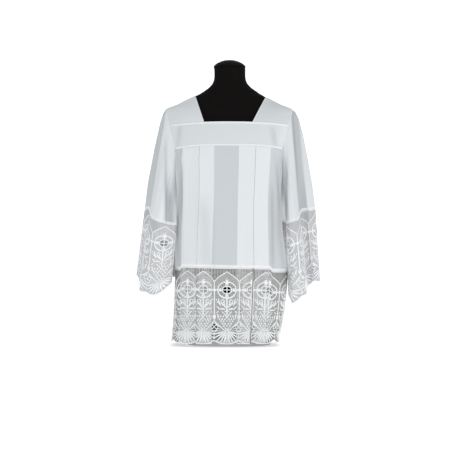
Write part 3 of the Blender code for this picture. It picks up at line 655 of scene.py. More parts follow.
def edge_drop(phase):
    """Drop of the scalloped edge: round tips, with notches under the pillars."""
    return DEEP - SCALLOP_NOTCH * np.abs(2 * np.mod(phase, 1.0) - 1) ** 2.2


def mirrored(parts):
    """Strands with their copies on the other side of the arch."""
    made = []
    for points, quads in parts:
        made += [(points, quads), (points * [-1, 1, 1], quads[:, ::-1])]
    return made


def joined(parts):
    """Strands as one set of points and faces."""
    counts = np.cumsum([0] + [len(p) for p, _ in parts[:-1]])
    return np.vstack([p for p, _ in parts]), np.vstack([q + n for (_, q), n in zip(parts, counts)])


# The lace's tables are in tenths of a millimetre. Leaves of an arch's right half: u and v where a
# leaf starts, u and v of its tip, bend, half-width, height, points along it. The first eight are in
# and about the ring, the next eight grow from the stem, and three lie beside the V.
TENTHS = 10000
LEAVES = [
    (355, 775, 165, 775, 0, 36, 17, 7),
    (335, 775, 200, 711, -18, 18, 11, 7),
    (335, 775, 200, 839, 18, 18, 11, 7),
    (350, 775, 420, 725, 12, 15, 11, 7),
    (350, 775, 420, 825, -12, 15, 11, 7),
    (6, 615, 88, 475, -24, 22, 13, 7),
    (6, 520, 64, 410, -18, 17, 12, 7),
    (10, 925, 72, 1063, 18, 21, 12, 7),
    (40, 1438, 245, 1248, -48, 29, 14, 9),
    (240, 1233, 290, 1068, 18, 23, 11, 7),
    (55, 1333, 100, 1113, 24, 21, 11, 7),
    (225, 1343, 360, 1188, -34, 26, 11, 7),
    (330, 1158, 375, 1078, 12, 19, 11, 7),
    (40, 1488, 280, 1463, -36, 29, 14, 9),
    (255, 1458, 370, 1358, -22, 23, 11, 7),
    (275, 1508, 375, 1568, 16, 21, 11, 7),
    (15, 1563, 92, 1538, -12, 18, 11, 7),
    (345, 1605, 310, 1805, 26, 25, 11, 7),
    (385, 1645, 392, 1805, -12, 17, 11, 7),
]
# Berries over the V: drop, then how far out each one is
BERRIES = [(1710, 125, 215), (1805, 70, 160, 250), (1875, 110, 200), (1965, 62, 150), (2050, 105),
           (2125, 50)]


def bar(start, end, count, half, high):
    """Straight strand."""
    return strand(line(start, end, count), half, high)


def leaves(rows):
    """Leaves from rows of the table."""
    made = []
    for *sizes, count in rows:
        u0, v0, u1, v1, bend, wide, high = np.array(sizes) / TENTHS
        made.append(leaf(bow((u0, v0), (u1, v1), bend, count), wide, high))
    return made


def arch_motif():
    """One arch: frame, ring with its cross and flowers, stem with leaves, berries, fan and edge."""
    u = np.linspace(0, HALF, 12)
    hip = (0.0100, FAN_DROP - 0.002)
    both = [
        strand(np.column_stack([u, arch_drop(u)]), 0.0018, 0.0013),
        bar((HALF, PILLAR_FOOT), hip, 6, 0.0018, 0.0013),
        bar(hip, (0.0, FAN_DROP), 3, 0.0016, 0.0013),
        bar((HALF, RING_DROP), (RING[0], RING_DROP), 3, 0.0018, 0.0014),
        *leaves(LEAVES[:8]),
        bar((0.0013, 0.1058), (0.0013, 0.1518), 7, 0.0015, 0.0013),
        strand(curl((0.0150, 0.1188), 0.0078, np.pi, 0.95, 0.55), 0.0015, 0.0012),
        *leaves(LEAVES[8:16]),
        strand(bow((0.0175, 0.1533), (0.0, 0.1785), 0.0018, 7), 0.0018, 0.0013),
        *leaves(LEAVES[16:]),
        *[berry((place / TENTHS, drop / TENTHS), 0.0028, 0.0038)
          for drop, *places in BERRIES for place in places],
    ]
    # pillar, its sides and the small frame under it; the other one belongs to the next arch
    once = [bar((-HALF, PILLAR_TOP - 0.001), (-HALF, PILLAR_FOOT), 12, 0.0021, 0.0014)]
    for side in (-1, 1):
        knee = (-HALF + side * 0.0135, 0.2080)
        once += [
            bar((-HALF + side * 0.0001, PILLAR_FOOT), knee, 4, 0.0015, 0.0011),
            bar(knee, (-HALF, 0.2330), 4, 0.0014, 0.0011),
            bar((-HALF - side * 0.0068, LOZENGE_DROP - 0.0072),
                (-HALF + side * 0.0068, LOZENGE_DROP + 0.0072), 3, 0.0012, 0.0011),
        ]
    # ring, eye and cross
    centre = (0.0, RING_DROP)
    once += [
        bar((-HALF, 0.2330), (-HALF, 0.2500), 3, 0.0015, 0.0010),
        strand(oval(centre, RING, 0, 2 * np.pi, 49), CORD, 0.0016),
        strand(oval(centre, RING - 0.0001, 0.6, np.pi - 0.6, 12), 0.0028, 0.0012),
        strand(oval(centre, EYE, 0, 2 * np.pi, 33), CORD, 0.0016),
        bar((-EYE[0], RING_DROP), (EYE[0], RING_DROP), 5, 0.0017, 0.0014),
        bar((0, RING_DROP - EYE[1]), (0, RING_DROP + EYE[1]), 5, 0.0017, 0.0014),
        leaf(line((0, 0.0630), (0, 0.0440), 7), 0.0032, 0.0016),
        bar((0, 0.0445), (0, 0.0350), 3, 0.0011, 0.0010),
    ]
    # thin spokes across the ring's windows
    for quarter in (0, np.pi / 2):
        for angle, wide in ((0.24, 0.0010), (0.60, 0.0006), (0.96, 0.0006), (1.33, 0.0010)):
            way = np.array([np.cos(quarter + angle), np.sin(quarter + angle)])
            once += [bar(centre + sign * way * EYE, centre + sign * way * RING, 3, wide, 0.0007)
                     for sign in (1, -1)]
    once.append(leaf(line((0, 0.1518), (0, 0.1695), 6), 0.0026, 0.0013))
    once += [berry((0, drop), 0.0025, 0.0034) for drop in (0.1865, 0.2035, 0.2170)]
    # fan of long petals under the arch, with a short ladder in its middle
    t = np.linspace(0, 1, 7)
    for turn in np.radians((13, 28, 43, 58, 73)):
        way = np.array([np.sin(turn), np.cos(turn)])
        reach = 0.0440 / np.sqrt((np.cos(turn) / 0.98) ** 2 + np.sin(turn) ** 2)
        both.append(bar((0, FAN_DROP) + way * 0.0045, (0, FAN_DROP) + way * reach, 7,
                        0.0009 + 0.0021 * np.sin(np.pi * t ** 1.5), 0.0014))
    both.append(bar((0.0017, FAN_DROP + 0.004), (0.0032, 0.2620), 5, 0.0009, 0.0011))
    once += [bar((-0.0028, drop), (0.0028, drop), 2, 0.0009, 0.0009)
             for drop in (0.2310, 0.2375, 0.2440, 0.2505, 0.2570)]
    # edge cord with its small loops, and the cord along the seam
    p = np.linspace(0, 1, 31)
    once.append(strand(np.column_stack([(p - 0.5) * REPEAT, edge_drop(p) - 0.0016]), 0.0017, 0.0012))
    once += [berry(((p - 0.5) * REPEAT, edge_drop(p) + 0.0002), 0.0019, 0.0018, 0.0010)
             for p in (np.arange(13) + 0.5) / 13]
    once.append(bar((-HALF, 0.0018), (HALF, 0.0018), 16, 0.0013, 0.0010))
    return joined(mirrored(both) + once)


def window(u, v):
    """Where the lace is wholly open: the eye's quarters and the lozenges under a pillar."""
    v_ring = v - RING_DROP
    tall, wide = np.abs(v_ring), np.abs(u)
    in_eye = np.hypot(u / (EYE[0] - CORD), v_ring / (EYE[1] - CORD)) < 1
    eye = in_eye & (wide > 0.0012) & (tall > 0.0012)
    u_pillar, v_pillar = HALF - wide, np.abs(v - LOZENGE_DROP)
    near = np.abs(u_pillar) / LOZENGE_SIZE[0] + np.abs(v_pillar - LOZENGE_OUT) / LOZENGE_SIZE[1]
    side = np.abs(u_pillar - LOZENGE_OUT) / LOZENGE_SIZE[0] + v_pillar / LOZENGE_SIZE[1]
    return eye | (near < 1) | (side < 1)


def net_sheet(name, surface, phase, folds, finish, fill, short=0.0, closed=False):
    """The lace's ground: rows by drop to the scalloped edge, columns by phase, windows left out.

    fill and short are one number or one a column: how closed the holes are, and how much is
    missing at the edge.
    """
    first, last = phase[[0, -1]] * NET_COLUMNS
    fine = np.arange(np.ceil(first), np.floor(last) + 1) / NET_COLUMNS
    at = np.interp(fine, phase, surface.at)
    clear = 0.0006
    if len(folds):
        at = at[np.abs(at[:, None] - folds[None, :]).min(axis=1) > clear]
    ends = surface.at[[0, -1]]
    at = at[(at > ends[0] + clear) & (at < ends[1] - clear)]
    at = np.unique(np.concatenate([ends, at, folds]))
    place = np.interp(at, surface.at, phase)
    short = np.interp(at, surface.at, np.broadcast_to(short, len(phase)))
    fill = np.interp(at, surface.at, np.broadcast_to(fill, len(phase)))
    drop = np.linspace(0, 1, NET_ROWS)[:, None] * (edge_drop(place) - short)[None, :]
    place = np.broadcast_to(place, drop.shape)
    points = surface.lay(np.broadcast_to(at, drop.shape), drop * surface.drop[-1] / DEEP)
    flat = np.column_stack([place.ravel(), drop.ravel()])[grid_quads(*drop.shape)]
    flip = faces_inward(points, surface.lay(at[:1], np.array([0.001]), 1.0)[0])
    quads = grid_quads(*drop.shape)
    if closed:
        points, fill = points[:, :-1], fill[:-1]
        quads = grid_quads(len(drop), len(at) - 1, closed=True)
    shade = np.broadcast_to(fill, points.shape[:2]).ravel()
    middle = flat.mean(axis=1)
    open_here = window((np.mod(middle[:, 0], 1.0) - 0.5) * REPEAT, middle[:, 1])
    open_here &= np.abs(middle[:, 1] - RING_DROP) < 0.02 if closed else np.abs(shade[quads[:, 0]]) < 0.5
    return put_mesh(name, points.reshape(-1, 3), quads[~open_here], finish, uv=flat[~open_here],
                    shade=shade, flip=flip)


def lay_strands(name, surface, phase, spans, motif, finish, stretch=True):
    """The arch drawn along every span of the surface, cut off at the span's ends."""
    flat, quads = motif
    deep = surface.drop[-1] / DEEP if stretch else 1.0
    points, faces, uv, count = [], [], [], 0
    for begin, end in spans:
        first, last = np.interp([begin, end], surface.at, phase)
        for k in range(int(np.floor(first)), int(np.ceil(last)) + 1):
            place = k + 0.5 + flat[:, 0] / REPEAT
            inside = (place > first) & (place < last)
            keep = quads[inside[quads].any(axis=1)]
            if not len(keep):
                continue
            at = np.interp(np.clip(place, first, last), phase, surface.at)
            points.append(surface.lay(at, flat[:, 1] * deep, flat[:, 2]))
            faces.append(keep + count)
            uv.append(np.column_stack([place, flat[:, 1]]))
            count += len(flat)
    points, faces = np.vstack(points), np.vstack(faces)
    corners = points[faces]
    middle = points.mean(axis=0)
    volume = np.einsum("ij,ij->i", corners[:, 0] - middle,
                       np.cross(corners[:, 2] - corners[:, 0], corners[:, 3] - corners[:, 1])).sum()
    return put_mesh(name, points, faces, finish, uv=np.vstack(uv), flip=volume < 0)


# ---------------------------------------------------------------- finishes
class Value:
    """A number socket of a shader; arithmetic on it adds Math nodes."""

    def __init__(self, tree, socket):
        self.tree, self.socket = tree, socket

    def maths(self, operation, *others, first=None):
        """One Math node on this number; `first` puts a plain number in front of it."""
        node = self.tree.nodes.new("ShaderNodeMath")
        node.operation = operation
        for slot, other in zip(node.inputs, (self, *others) if first is None else (first, self)):
            if isinstance(other, Value):
                self.tree.links.new(other.socket, slot)
            else:
                slot.default_value = other
        return Value(self.tree, node.outputs[0])

    def __rsub__(self, other):
        """A plain number less this one."""
        return self.maths("SUBTRACT", first=other)

    def held(self):
        """This number held between 0 and 1."""
        return self.most(0.0).least(1.0)

    def wave(self, pitch):
        """Cosine of this length over a pitch, from -1 to 1."""
        return (self * (2 * np.pi / pitch)).maths("COSINE")


OPERATIONS = {
    "__add__": "ADD", "__radd__": "ADD", "__sub__": "SUBTRACT", "__mul__": "MULTIPLY",
    "__rmul__": "MULTIPLY", "__truediv__": "DIVIDE", "__pow__": "POWER", "__abs__": "ABSOLUTE",
    "__lt__": "LESS_THAN", "__gt__": "GREATER_THAN", "least": "MINIMUM", "most": "MAXIMUM",
    "part": "FRACT", "whole": "FLOOR",
}
for word, operation in OPERATIONS.items():
    setattr(Value, word, partialmethod(Value.maths, operation))


class Finish:
    """A material under way: its tree, its Principled shader and one method for every node."""

    def __init__(self, name, colour, roughness):
        self.made = bpy.data.materials.new(name)
        self.made.use_nodes = True
        self.tree = self.made.node_tree
        self.shader = self.tree.nodes["Principled BSDF"]
        self.set("Base Color", colour)
        self.set("Roughness", roughness)

    def node(self, kind, settings=None, output=0, **sockets):
        """One node: settings first, then its sockets' values or links, named or by number."""
        made = self.tree.nodes.new(kind)
        for key, value in (settings or {}).items():
            setattr(made, key, value)
        for key, value in sockets.items():
            slot = made.inputs[int(key[1:])] if key[0] == "_" else made.inputs[key.replace("_", " ")]
            self.feed(slot, value)
        return made.outputs[output]

    def feed(self, slot, value):
        """A link or a plain value put into a socket."""
        if isinstance(value, Value):
            self.tree.links.new(value.socket, slot)
        elif isinstance(value, bpy.types.NodeSocket):
            self.tree.links.new(value, slot)
        elif hasattr(value, "__len__") and len(value) == 3 and slot.type == "RGBA":
            slot.default_value = (*value, 1)
        else:
            slot.default_value = value

    def set(self, name, value):
        """One of the shader's own sockets."""
        self.feed(self.shader.inputs[name], value)

    def number(self, socket):
        """A socket ready for arithmetic."""
        return Value(self.tree, socket)

    def object_axes(self):
        """Object coordinates, as a vector and as three numbers."""
        vector = self.node("ShaderNodeTexCoord", output="Object")
        return vector, self.parts(vector)

    def flat_axes(self):
        """Place along the lace in arches, and drop from its seam in metres."""
        return self.parts(self.node("ShaderNodeUVMap", {"uv_map": "flat"}))[:2]

    def parts(self, vector):
        """A vector's three numbers."""
        return [self.number(s) for s in self.node("ShaderNodeSeparateXYZ", Vector=vector).node.outputs]

    def show_shade_and_glow(self):
        """The point attribute read by the cotton and the net: see-through, painted shade and painted
        glow.
        """
        return self.number(self.node("ShaderNodeAttribute", {"attribute_name": "show_shade_and_glow"}, output=2))

    def noise(self, vector, scale, detail=2.0, roughness=0.5):
        """Clouds from 0 to 1 about a mean of a half."""
        return self.number(self.node("ShaderNodeTexNoise", Vector=vector, Scale=scale,
                                     Detail=detail, Roughness=roughness))

    def stretched(self, vector, scale):
        """A vector with its parts multiplied."""
        return self.node("ShaderNodeVectorMath", {"operation": "MULTIPLY"}, _0=vector, _1=scale)

    def mix(self, factor, first, second):
        """A colour between two others."""
        return self.node("ShaderNodeMix", {"data_type": "RGBA"}, output=2,
                         _0=factor, _6=first, _7=second)

    def bump(self, height, distance, strength=1.0):
        """Relief of the given depth in metres."""
        self.set("Normal", self.node("ShaderNodeBump", Height=height, Distance=distance,
                                     Strength=strength))

    def sheen(self, weight):
        """Soft light from fine fibres."""
        self.set("Sheen Weight", weight)
        self.set("Sheen Roughness", 0.5)

    def glow(self, colour, strength):
        """Light of its own."""
        self.set("Emission Color", colour)
        self.set("Emission Strength", strength)


# Cotton: doubled, single over the dark form, painted shade deep in a fold, and a painted glow
# where light would seep in between two layers; the single-layer grey also serves for painted
# shade on folds
WHITE = (0.800, 0.824, 0.834)
SHOWING_AND_SHADE = (0.618, 0.646, 0.662)
FOLD_SHADE = (0.36, 0.36, 0.37)
SEEPING_GLOW = (0.480, 0.465, 0.455)
WEAVE = 0.00046         # pitch of its threads


def cotton():
    """Fine plain weave, slightly see-through.

    The point attribute is 0 on doubled cloth and 1 where one layer lies over the dark form, and
    painted shade on folds, valleys and shoulders uses the same range; from 1 up to 2 it is painted
    shade deep in a fold, and below 0, down to -2.5, a painted glow where light would seep in
    between two layers.
    """
    made = Finish("white_cotton", WHITE, 0.78)
    vector, (x, y, z) = made.object_axes()
    show_shade_and_glow = made.show_shade_and_glow()
    cloud = made.noise(vector, 16.0, 3.0, 0.6)
    slub = made.noise(made.stretched(vector, (9.0, 9.0, 900.0)), 1.0, 2.0)
    pick = made.noise(made.stretched(vector, (900.0, 900.0, 9.0)), 1.0, 2.0)
    tone = (cloud - 0.5) * 0.12 + (slub - 0.5) * 0.04 + (pick - 0.5) * 0.14
    # Grey where the form is seen through one layer or shade is painted, dark grey for painted shade
    # deep in a fold, and a painted glow below 0
    near = made.mix((tone + show_shade_and_glow).held(), WHITE, SHOWING_AND_SHADE)
    made.set("Base Color", made.mix((show_shade_and_glow - 1.0).held(), near, FOLD_SHADE))
    made.glow(made.mix((show_shade_and_glow * -0.4).held(), (0.0, 0.0, 0.0), SEEPING_GLOW), 1.0)
    made.set("Roughness", 0.74 + cloud * 0.10)
    weave = x.wave(WEAVE) * z.wave(WEAVE) + y.wave(WEAVE) * z.wave(WEAVE)
    made.bump(weave * 0.3 + slub * 0.5 + pick * 0.5, 0.00012, 0.5)
    made.sheen(0.12)
    return made.made


def net_finish(name, behind):
    """Lace ground: square net above the arches, round holes inside them, thin bars in the ring.

    The point attribute closes the holes: up to 1 with the tone given as behind, which is painted
    shade of the garment's inside; from 1 to 2 it darkens the whole lace with painted shade deep in a
    fold; below 0 it closes them with the tone of another layer of lace.
    """
    made = Finish(name, (0.70, 0.71, 0.72), 0.72)
    place, drop = made.flat_axes()
    u = (place.part() - 0.5) * REPEAT
    wide = abs(u)
    share = wide / HALF
    arch = share * ARCH_SLOPE + share ** 6 * (PILLAR_TOP - ARCH_TOP - ARCH_SLOPE) + ARCH_TOP
    inside = drop > arch
    along = place * REPEAT
    # square net
    post = abs((along / POSTS).part() - 0.5) * POSTS
    rung = abs((drop / RUNGS).part() - 0.5) * RUNGS
    hole = (post < 0.00175) * (rung < 0.00165)
    # round holes, every other row shifted by half
    row = (drop / HOLE_ROWS).whole()
    shift = (row * 0.5).part()
    across = ((along / HOLES + shift).part() - 0.5) * HOLES
    down = ((drop / HOLE_ROWS).part() - 0.5) * HOLE_ROWS
    round_hole = (across * across + down * down) ** 0.5 < 0.00142
    below = drop > (V_DEEP / HALF * -1.0) * wide + (PILLAR_FOOT + V_DEEP)
    # ring's windows: bars of thread with wide slots between them
    over = (drop - RING_DROP) / float(RING[1])
    side = u / float(RING[0])
    ring = (over * over + side * side) ** 0.5
    lane = abs((abs(over).maths("ARCTAN2", abs(side)) / 0.118).part() - 0.5)
    pane = (ring < 0.97) * (ring > 0.50)
    slot = (lane < 0.34) * (abs((ring / 0.13).part() - 0.5) < 0.40)
    ground = hole * (1.0 - inside) + round_hole * inside * (1.0 - below) + slots(made, u, drop) * below
    opening = ground * (1.0 - pane) + slot * pane
    opening = opening * (1.0 - (drop > edge_band(share)))
    fill = made.show_shade_and_glow()
    made.set("Alpha", 1.0 - opening * (1.0 - abs(fill).least(1.0)))
    vector, _ = made.object_axes()
    thread = made.mix(made.noise(vector, 60.0), (0.62, 0.615, 0.605), (0.74, 0.74, 0.73))
    base = made.mix(opening, thread, made.mix(fill < 0.0, behind, (0.54, 0.55, 0.57)))
    # Painted shade deep in a fold: from 1 to 2 the whole lace darkens towards near black
    made.set("Base Color", made.mix((fill - 1.0).held(), base, (0.10, 0.10, 0.105)))
    made.bump(made.noise(vector, 900.0, 2.0), 0.0003, 0.6)
    return made.made


def edge_band(share):
    """Drop of the closed band along the scallops, from the share of the way to a pillar."""
    return share ** 2.2 * (-SCALLOP_NOTCH) + (DEEP - 0.0030)


def slots(made, u, drop):
    """Slots between the fan's petals: by angle round the fan's foot, in the flat."""
    down = drop - FAN_DROP
    angle = abs(u).maths("ARCTAN2", down)
    lane = abs(((angle * (180 / np.pi) - 13 + 7.5) / 15).part() - 0.5)
    radius = (u * u + down * down) ** 0.5
    rung = abs((radius / 0.0046).part() - 0.5)
    return (lane > 0.27) * (radius > 0.006) * (rung < 0.40)


def thread_finish(name, colour, roughness, pitch):
    """Raised thread: slightly glossy, with fine stitches laid across it."""
    made = Finish(name, colour, roughness)
    vector, (x, y, z) = made.object_axes()
    cloud = made.noise(vector, 90.0)
    made.set("Base Color", made.mix(cloud, tuple(c * 0.95 for c in colour), colour))
    stitch = (x + z * 0.8 + y * 0.6).wave(pitch)
    made.bump(stitch * 0.5 + made.noise(vector, 1500.0) * 0.5, 0.0002, 0.5)
    made.sheen(0.15)
    # Painted light: the thread glows faintly in its own colour, so that it stays bright
    made.glow(colour, 0.06)
    return made.made


def jersey():
    """Black knitted cover with rows of tiny stitches and faint lint, above a pale foot board."""
    dark = (0.005, 0.0042, 0.0039)
    made = Finish("black_jersey", dark, 0.82)
    made.set("Specular IOR Level", 0.06)
    vector, (x, y, z) = made.object_axes()
    rows = z.wave(0.0016)
    ribs = (x * 0.8 + y * 0.8).wave(0.0013)
    cloud = made.noise(vector, 30.0, 3.0)
    lint = made.noise(vector, 700.0, 1.0) > 0.71
    knit = made.mix(lint * 0.35 + cloud * 0.2, dark, (0.016, 0.0135, 0.012))
    made.set("Base Color", made.mix(z < FOOT_HIGH, knit, (0.60, 0.60, 0.61)))
    made.set("Roughness", 0.76 + cloud * 0.14)
    made.bump(rows * ribs * 0.6 + cloud * 0.4, 0.0003, 0.6)
    return made.made


def cap_finish():
    """Black satin lacquer with fine wear."""
    dark = (0.006, 0.005, 0.005)
    made = Finish("black_cap", dark, 0.55)
    made.set("Specular IOR Level", 0.05)
    vector, _ = made.object_axes()
    cloud = made.noise(vector, 40.0, 4.0)
    scuff = made.noise(made.stretched(vector, (300.0, 300.0, 60.0)), 1.0, 3.0) > 0.66
    made.set("Base Color", made.mix(scuff * 0.3, dark, (0.022, 0.019, 0.018)))
    made.set("Roughness", 0.48 + cloud * 0.2 + scuff * 0.1)
    made.bump(cloud, 0.0002, 0.3)
    return made.made


def stage_finish(name, colour):
    """Matt paper that glows a little behind the object, so that it stays pale."""
    made = Finish(name, colour, 0.9)
    vector, (x, y, _) = made.object_axes()
    made.set("Roughness", 0.88 + made.noise(vector, 3.0) * 0.05)
    near = (3.4 - abs(x)).least(y * 0.4 + 2.2).held()
    made.glow(made.mix(near, (0.10, 0.10, 0.10), colour), 0.50)
    return made.made


# ---------------------------------------------------------------- pieces
COTTON = cotton()
# Tones for the net's closed holes, both painted shade of the garment's inside: dark in the hem lace,
# grey-lilac in the cuffs
NET = net_finish("lace_net", (0.16, 0.15, 0.14))
CUFF_NET = net_finish("cuff_net", (0.44, 0.44, 0.48))
THREAD = thread_finish("lace_thread", (0.930, 0.950, 0.960), 0.55, 0.0011)
TAPE = thread_finish("tape_thread", (0.875, 0.900, 0.910), 0.60, 0.0021)
BLACK = jersey()
LACQUER = cap_finish()
MOTIF = arch_motif()


def heading_motif():
    """Heading over the lace, one arch wide: a low strip, two edge cords and a row of knobs."""
    bars = ((-0.0016, 0.0012, 0.0011), (-0.0106, 0.0006, 0.0007), (-0.0062, 0.0034, 0.0004))
    knobs = ((np.arange(20) + 0.5) / 20 - 0.5) * REPEAT
    return joined([bar((-HALF, v), (HALF, v), 16, half, high) for v, half, high in bars]
                  + [berry((u, -0.0062), 0.0015, 0.0023, 0.0013) for u in knobs])


def tape_motif(length):
    """Tape of a given length: a flat strip, an edge cord on each side, slanted stitches across."""
    half, count = length / 2, int(length / 0.004)
    bars = ((0, TAPE_WIDE / 2, 0.0007), (-0.0021, 0.0009, 0.0014), (0.0021, 0.0009, 0.0014))
    stitches = np.arange(-half + 0.002, half - 0.002, 0.0026)
    return joined([bar((-half, v), (half, v), count, wide, high) for v, wide, high in bars]
                  + [bar((u - 0.0006, 0.0014), (u + 0.0006, -0.0014), 2, 0.0005, 0.0011)
                     for u in stitches])


# How closed the net's holes are: side strips, pleats and cuffs, then each edge of the two slits;
# the side strips, cuffs and slits' edges take painted shade, and above 1 the lace is darkened
# further by painted shade
SIDE_SHADE, PLEAT_FILL, CUFF_SHADE = 1.28, -0.55, 0.85
SLIT_SHADE = (1.20, 1.20, 1.40, 1.25)
EDGE_WIDE = 0.0034
CORD_SHORT = 0.0046     # where the cords stop before the right slit


def single_layer(table):
    """Which columns of a path lie on the curve itself, with no pleat behind them."""
    return np.isclose(table[:, 2], table[:, 3]) & (table[:, 1] == 0)


def seam_dip(table):
    """How far the hem seam hangs below its height: more on the single-layer strips, and more to
    the right than to the left."""
    place = table[:, 0]
    strip = np.where(np.abs(place) > 0.5, 0.011, 0.0005) * single_layer(table)
    near = np.abs(table[:, 5][:, None] - table[:, 5][None, :]) < 0.004
    return 0.0052 * (1 + place) + (near * strip[None, :]).sum(axis=1) / near.sum(axis=1)


def lace_surface(surface, table):
    """The panel's surface read from the seam's own line down, for the lace and its heading."""
    drop = np.concatenate([np.linspace(-0.030, 0, 6)[:-1], np.linspace(0, DEEP, 48)])
    dip = seam_dip(table)
    scale = np.where(drop[:, None] > 0, (DEEP - dip) / DEEP, 1.0)
    down = PANEL_TOP - SEAM_Z + dip + drop[:, None] * scale
    at = np.broadcast_to(surface.at, down.shape)
    points = surface.lay(at, down)
    return Surface(points, surface.lay(at, down, 1.0) - points, surface.at, drop)


def garment_panel(word, face):
    """Pleated body panel, the lace under it and the heading along their seam."""
    table, spans = path_columns()
    surface = pleated_surface(face, table)
    phase = table[:, 6]
    top = panel_top(table)
    z = top + (SEAM_Z - seam_dip(table) - top) * np.linspace(0, 1, 64)[:, None]
    at = np.broadcast_to(table[:, 5], z.shape)
    points = surface.lay(at, PANEL_TOP - z)
    single = single_layer(table)
    flip = faces_inward(points, surface.lay(at[0, :1], PANEL_TOP - z[0, :1], 1.0)[0])
    # Grey where one layer lies over the dark form, painted shade along the panel's soft folds, and a
    # painted glow on the single strips beside the sleeves, where light would seep in
    show_shade_and_glow = single + creases(points[:, :, 0], z, BODY_SHADE)
    share = np.abs(leaned(table[:, 0], z))
    painted_glow = 2.1 * ease((share - 0.665) / 0.13) * single * ease((0.70 - z) / 0.04)
    cloth = put_mesh(f"body_cloth_{word}", points.reshape(-1, 3), grid_quads(*z.shape), COTTON,
                     shade=(np.clip(show_shade_and_glow, 0, 2) - painted_glow).ravel(), flip=flip)
    under = lace_surface(surface, table)
    ends = [(table[a, 5], table[b, 5], layer) for a, b, layer in spans]
    folds = np.array([a for a, _, _ in ends[1:]])
    # holes of the net: painted shade at the sides, open in the middle, another layer of lace in the
    # pleats, and painted shade closing and darkening both edges of each slit
    fill = np.where(single & (np.abs(table[:, 0]) > 0.5), SIDE_SHADE, np.where(single, 0.0, PLEAT_FILL))
    edges = folds[[1, 9, 12, 20]]
    for edge, tone in zip(edges, SLIT_SHADE):
        fill = np.maximum(fill, tone * (np.abs(table[:, 5] - edge) < EDGE_WIDE))
    net = net_sheet(f"hem_net_{word}", under, phase, folds, NET, fill, short=table[:, 1] * -0.003)
    shown = [(a, b - CORD_SHORT * (b == edges[2])) for a, b, layer in ends if layer in (0, -2)]
    cords = lay_strands(f"hem_cords_{word}", under, phase, shown, MOTIF, THREAD)
    front = [(a, b) for a, b, layer in ends if layer == 0]
    heading = lay_strands(f"hem_heading_{word}", under, phase, front, heading_motif(), THREAD, False)
    declare(cloth, "white_cloth", "body_" + word)
    declare(net, "white_lace", "hem_lace_" + word)
    declare(cords, "white_lace")
    declare(heading, "white_lace")
    return cloth, net, cords, heading


def lay_flat(name, surface, motif, middle, finish):
    """Strands drawn about a middle point of the surface's flat cloth, laid on it once."""
    flat, quads = motif
    points = surface.lay(flat[:, 0] + middle[0], flat[:, 1] + middle[1], flat[:, 2])
    a, b, c, d = (points[quads[:, i]] for i in range(4))
    outward = surface.lay(flat[:, 0] + middle[0], flat[:, 1] + middle[1], flat[:, 2] + 1) - points
    flip = np.einsum("ij,ij->i", np.cross(c - a, d - b), outward[quads[:, 0]]).sum() < 0
    return put_mesh(name, points, quads, finish, uv=flat[:, :2], flip=flip)


def yoke_band(word, face, top):
    """Band across the chest or back with its two tapes."""
    share = np.linspace(-1, 1, 181)[None, :]
    down = np.linspace(0, 1, 15)[:, None]
    z_top = band_top(share, face, top)
    z = z_top + (band_low(share) - z_top) * down
    x = share * armhole_x(z)
    y = face * depth_at(x, z, BAND_LIFT - SKIN)
    points = np.stack([x, y, z], axis=-1)
    normals = grid_normals(points)
    normals *= np.sign(normals[7, 90, 1]) * face
    # Grey of the band over the dark form, lighter towards its ends, and painted shade near the armholes
    show_shade_and_glow = 0.42 - 0.25 * ease((np.abs(share) - 0.80) / 0.2) + 0 * down
    show_shade_and_glow = show_shade_and_glow + creases(x, z, YOKE_SHADE)
    band = put_sheet("yoke_cloth_" + word, points, normals, show_shade_and_glow)
    at = run_length(points[7])
    drops = (top - YOKE_LOW) * down[:, 0]
    surface = Surface(points, normals, at, drops)
    tapes = []
    for edge, drop in (("neck", 0.0037), ("yoke", drops[-1] - 0.0037)):
        tape = lay_flat(f"{word}_{edge}_tape_sewn", surface, tape_motif(at[-1] - 0.001),
                        (at[-1] / 2, drop), TAPE)
        declare(tape, "white_tape", f"{word}_{edge}_tape")
        tapes.append(tape)
    declare(band, "white_cloth", word + "_yoke")
    return band, tapes


def ridge_height(x):
    """Height of the shoulder line at a distance from the centre: where the outline is x wide."""
    z = np.linspace(DRAPE[-1, 0], 0.826, 300)
    return np.interp(x + SKIN, smooth(DRAPE, z)[:, 1], z)


def shoulder_piece(word, side):
    """Plain piece over the shoulder from the front band to the back band, with its neck hem: each
    column climbs to the shoulder line in steps that close up, so that the top is round."""
    rows, across = [], np.linspace(0, 1, 49)
    t = 1 - (1 - np.linspace(0, 1, 49)[:, None]) ** 2
    for face, top, neck in ((-1, YOKE_TOP, NECK_LOW[side]), (1, BACK_TOP, NECK_BACK)):
        share = neck / armhole_x(top) + (1 - neck / armhole_x(top)) * across
        low = band_top(share, face, top)
        z_edge = low[-1] + (ARMHOLE[0, 0] - low[-1]) * t
        x_in = neck + (NECK_SIDE[side] - neck) * t
        x = x_in + (armhole_x(z_edge) - x_in) * across
        z = low + (np.where(across < 1, ridge_height(x[-1]), ARMHOLE[0, 0]) - low) * t
        y = face * depth_at(x, z, -SKIN)
        y[-1] = 0
        part = np.stack([side * x, y, z], axis=-1)
        rows.append(part if face < 0 else part[-2::-1])
    points = np.vstack(rows)
    normals = grid_normals(points)
    normals *= np.sign(normals[48, 24, 2])
    # Painted shade on the shoulder, darker on the right than on the left
    made = put_sheet(f"shoulder_cloth_{word}", points, normals, 0.30 if side < 0 else 0.68)
    drop = run_length(points[:, 0])
    surface = Surface(points, normals, run_length(points[0]), drop)
    hem = joined([bar((u, 0), (u, drop[-1]), 60, half, high)
                  for u, half, high in ((0.0010, 0.0010, 0.0011), (0.0052, 0.0004, 0.0006))])
    hem = lay_flat(f"neck_hem_{word}", surface, hem, (0.0, 0.0), TAPE)
    declare(made, "white_cloth", "shoulder_" + word)
    declare(hem, "white_cloth")
    return made, hem


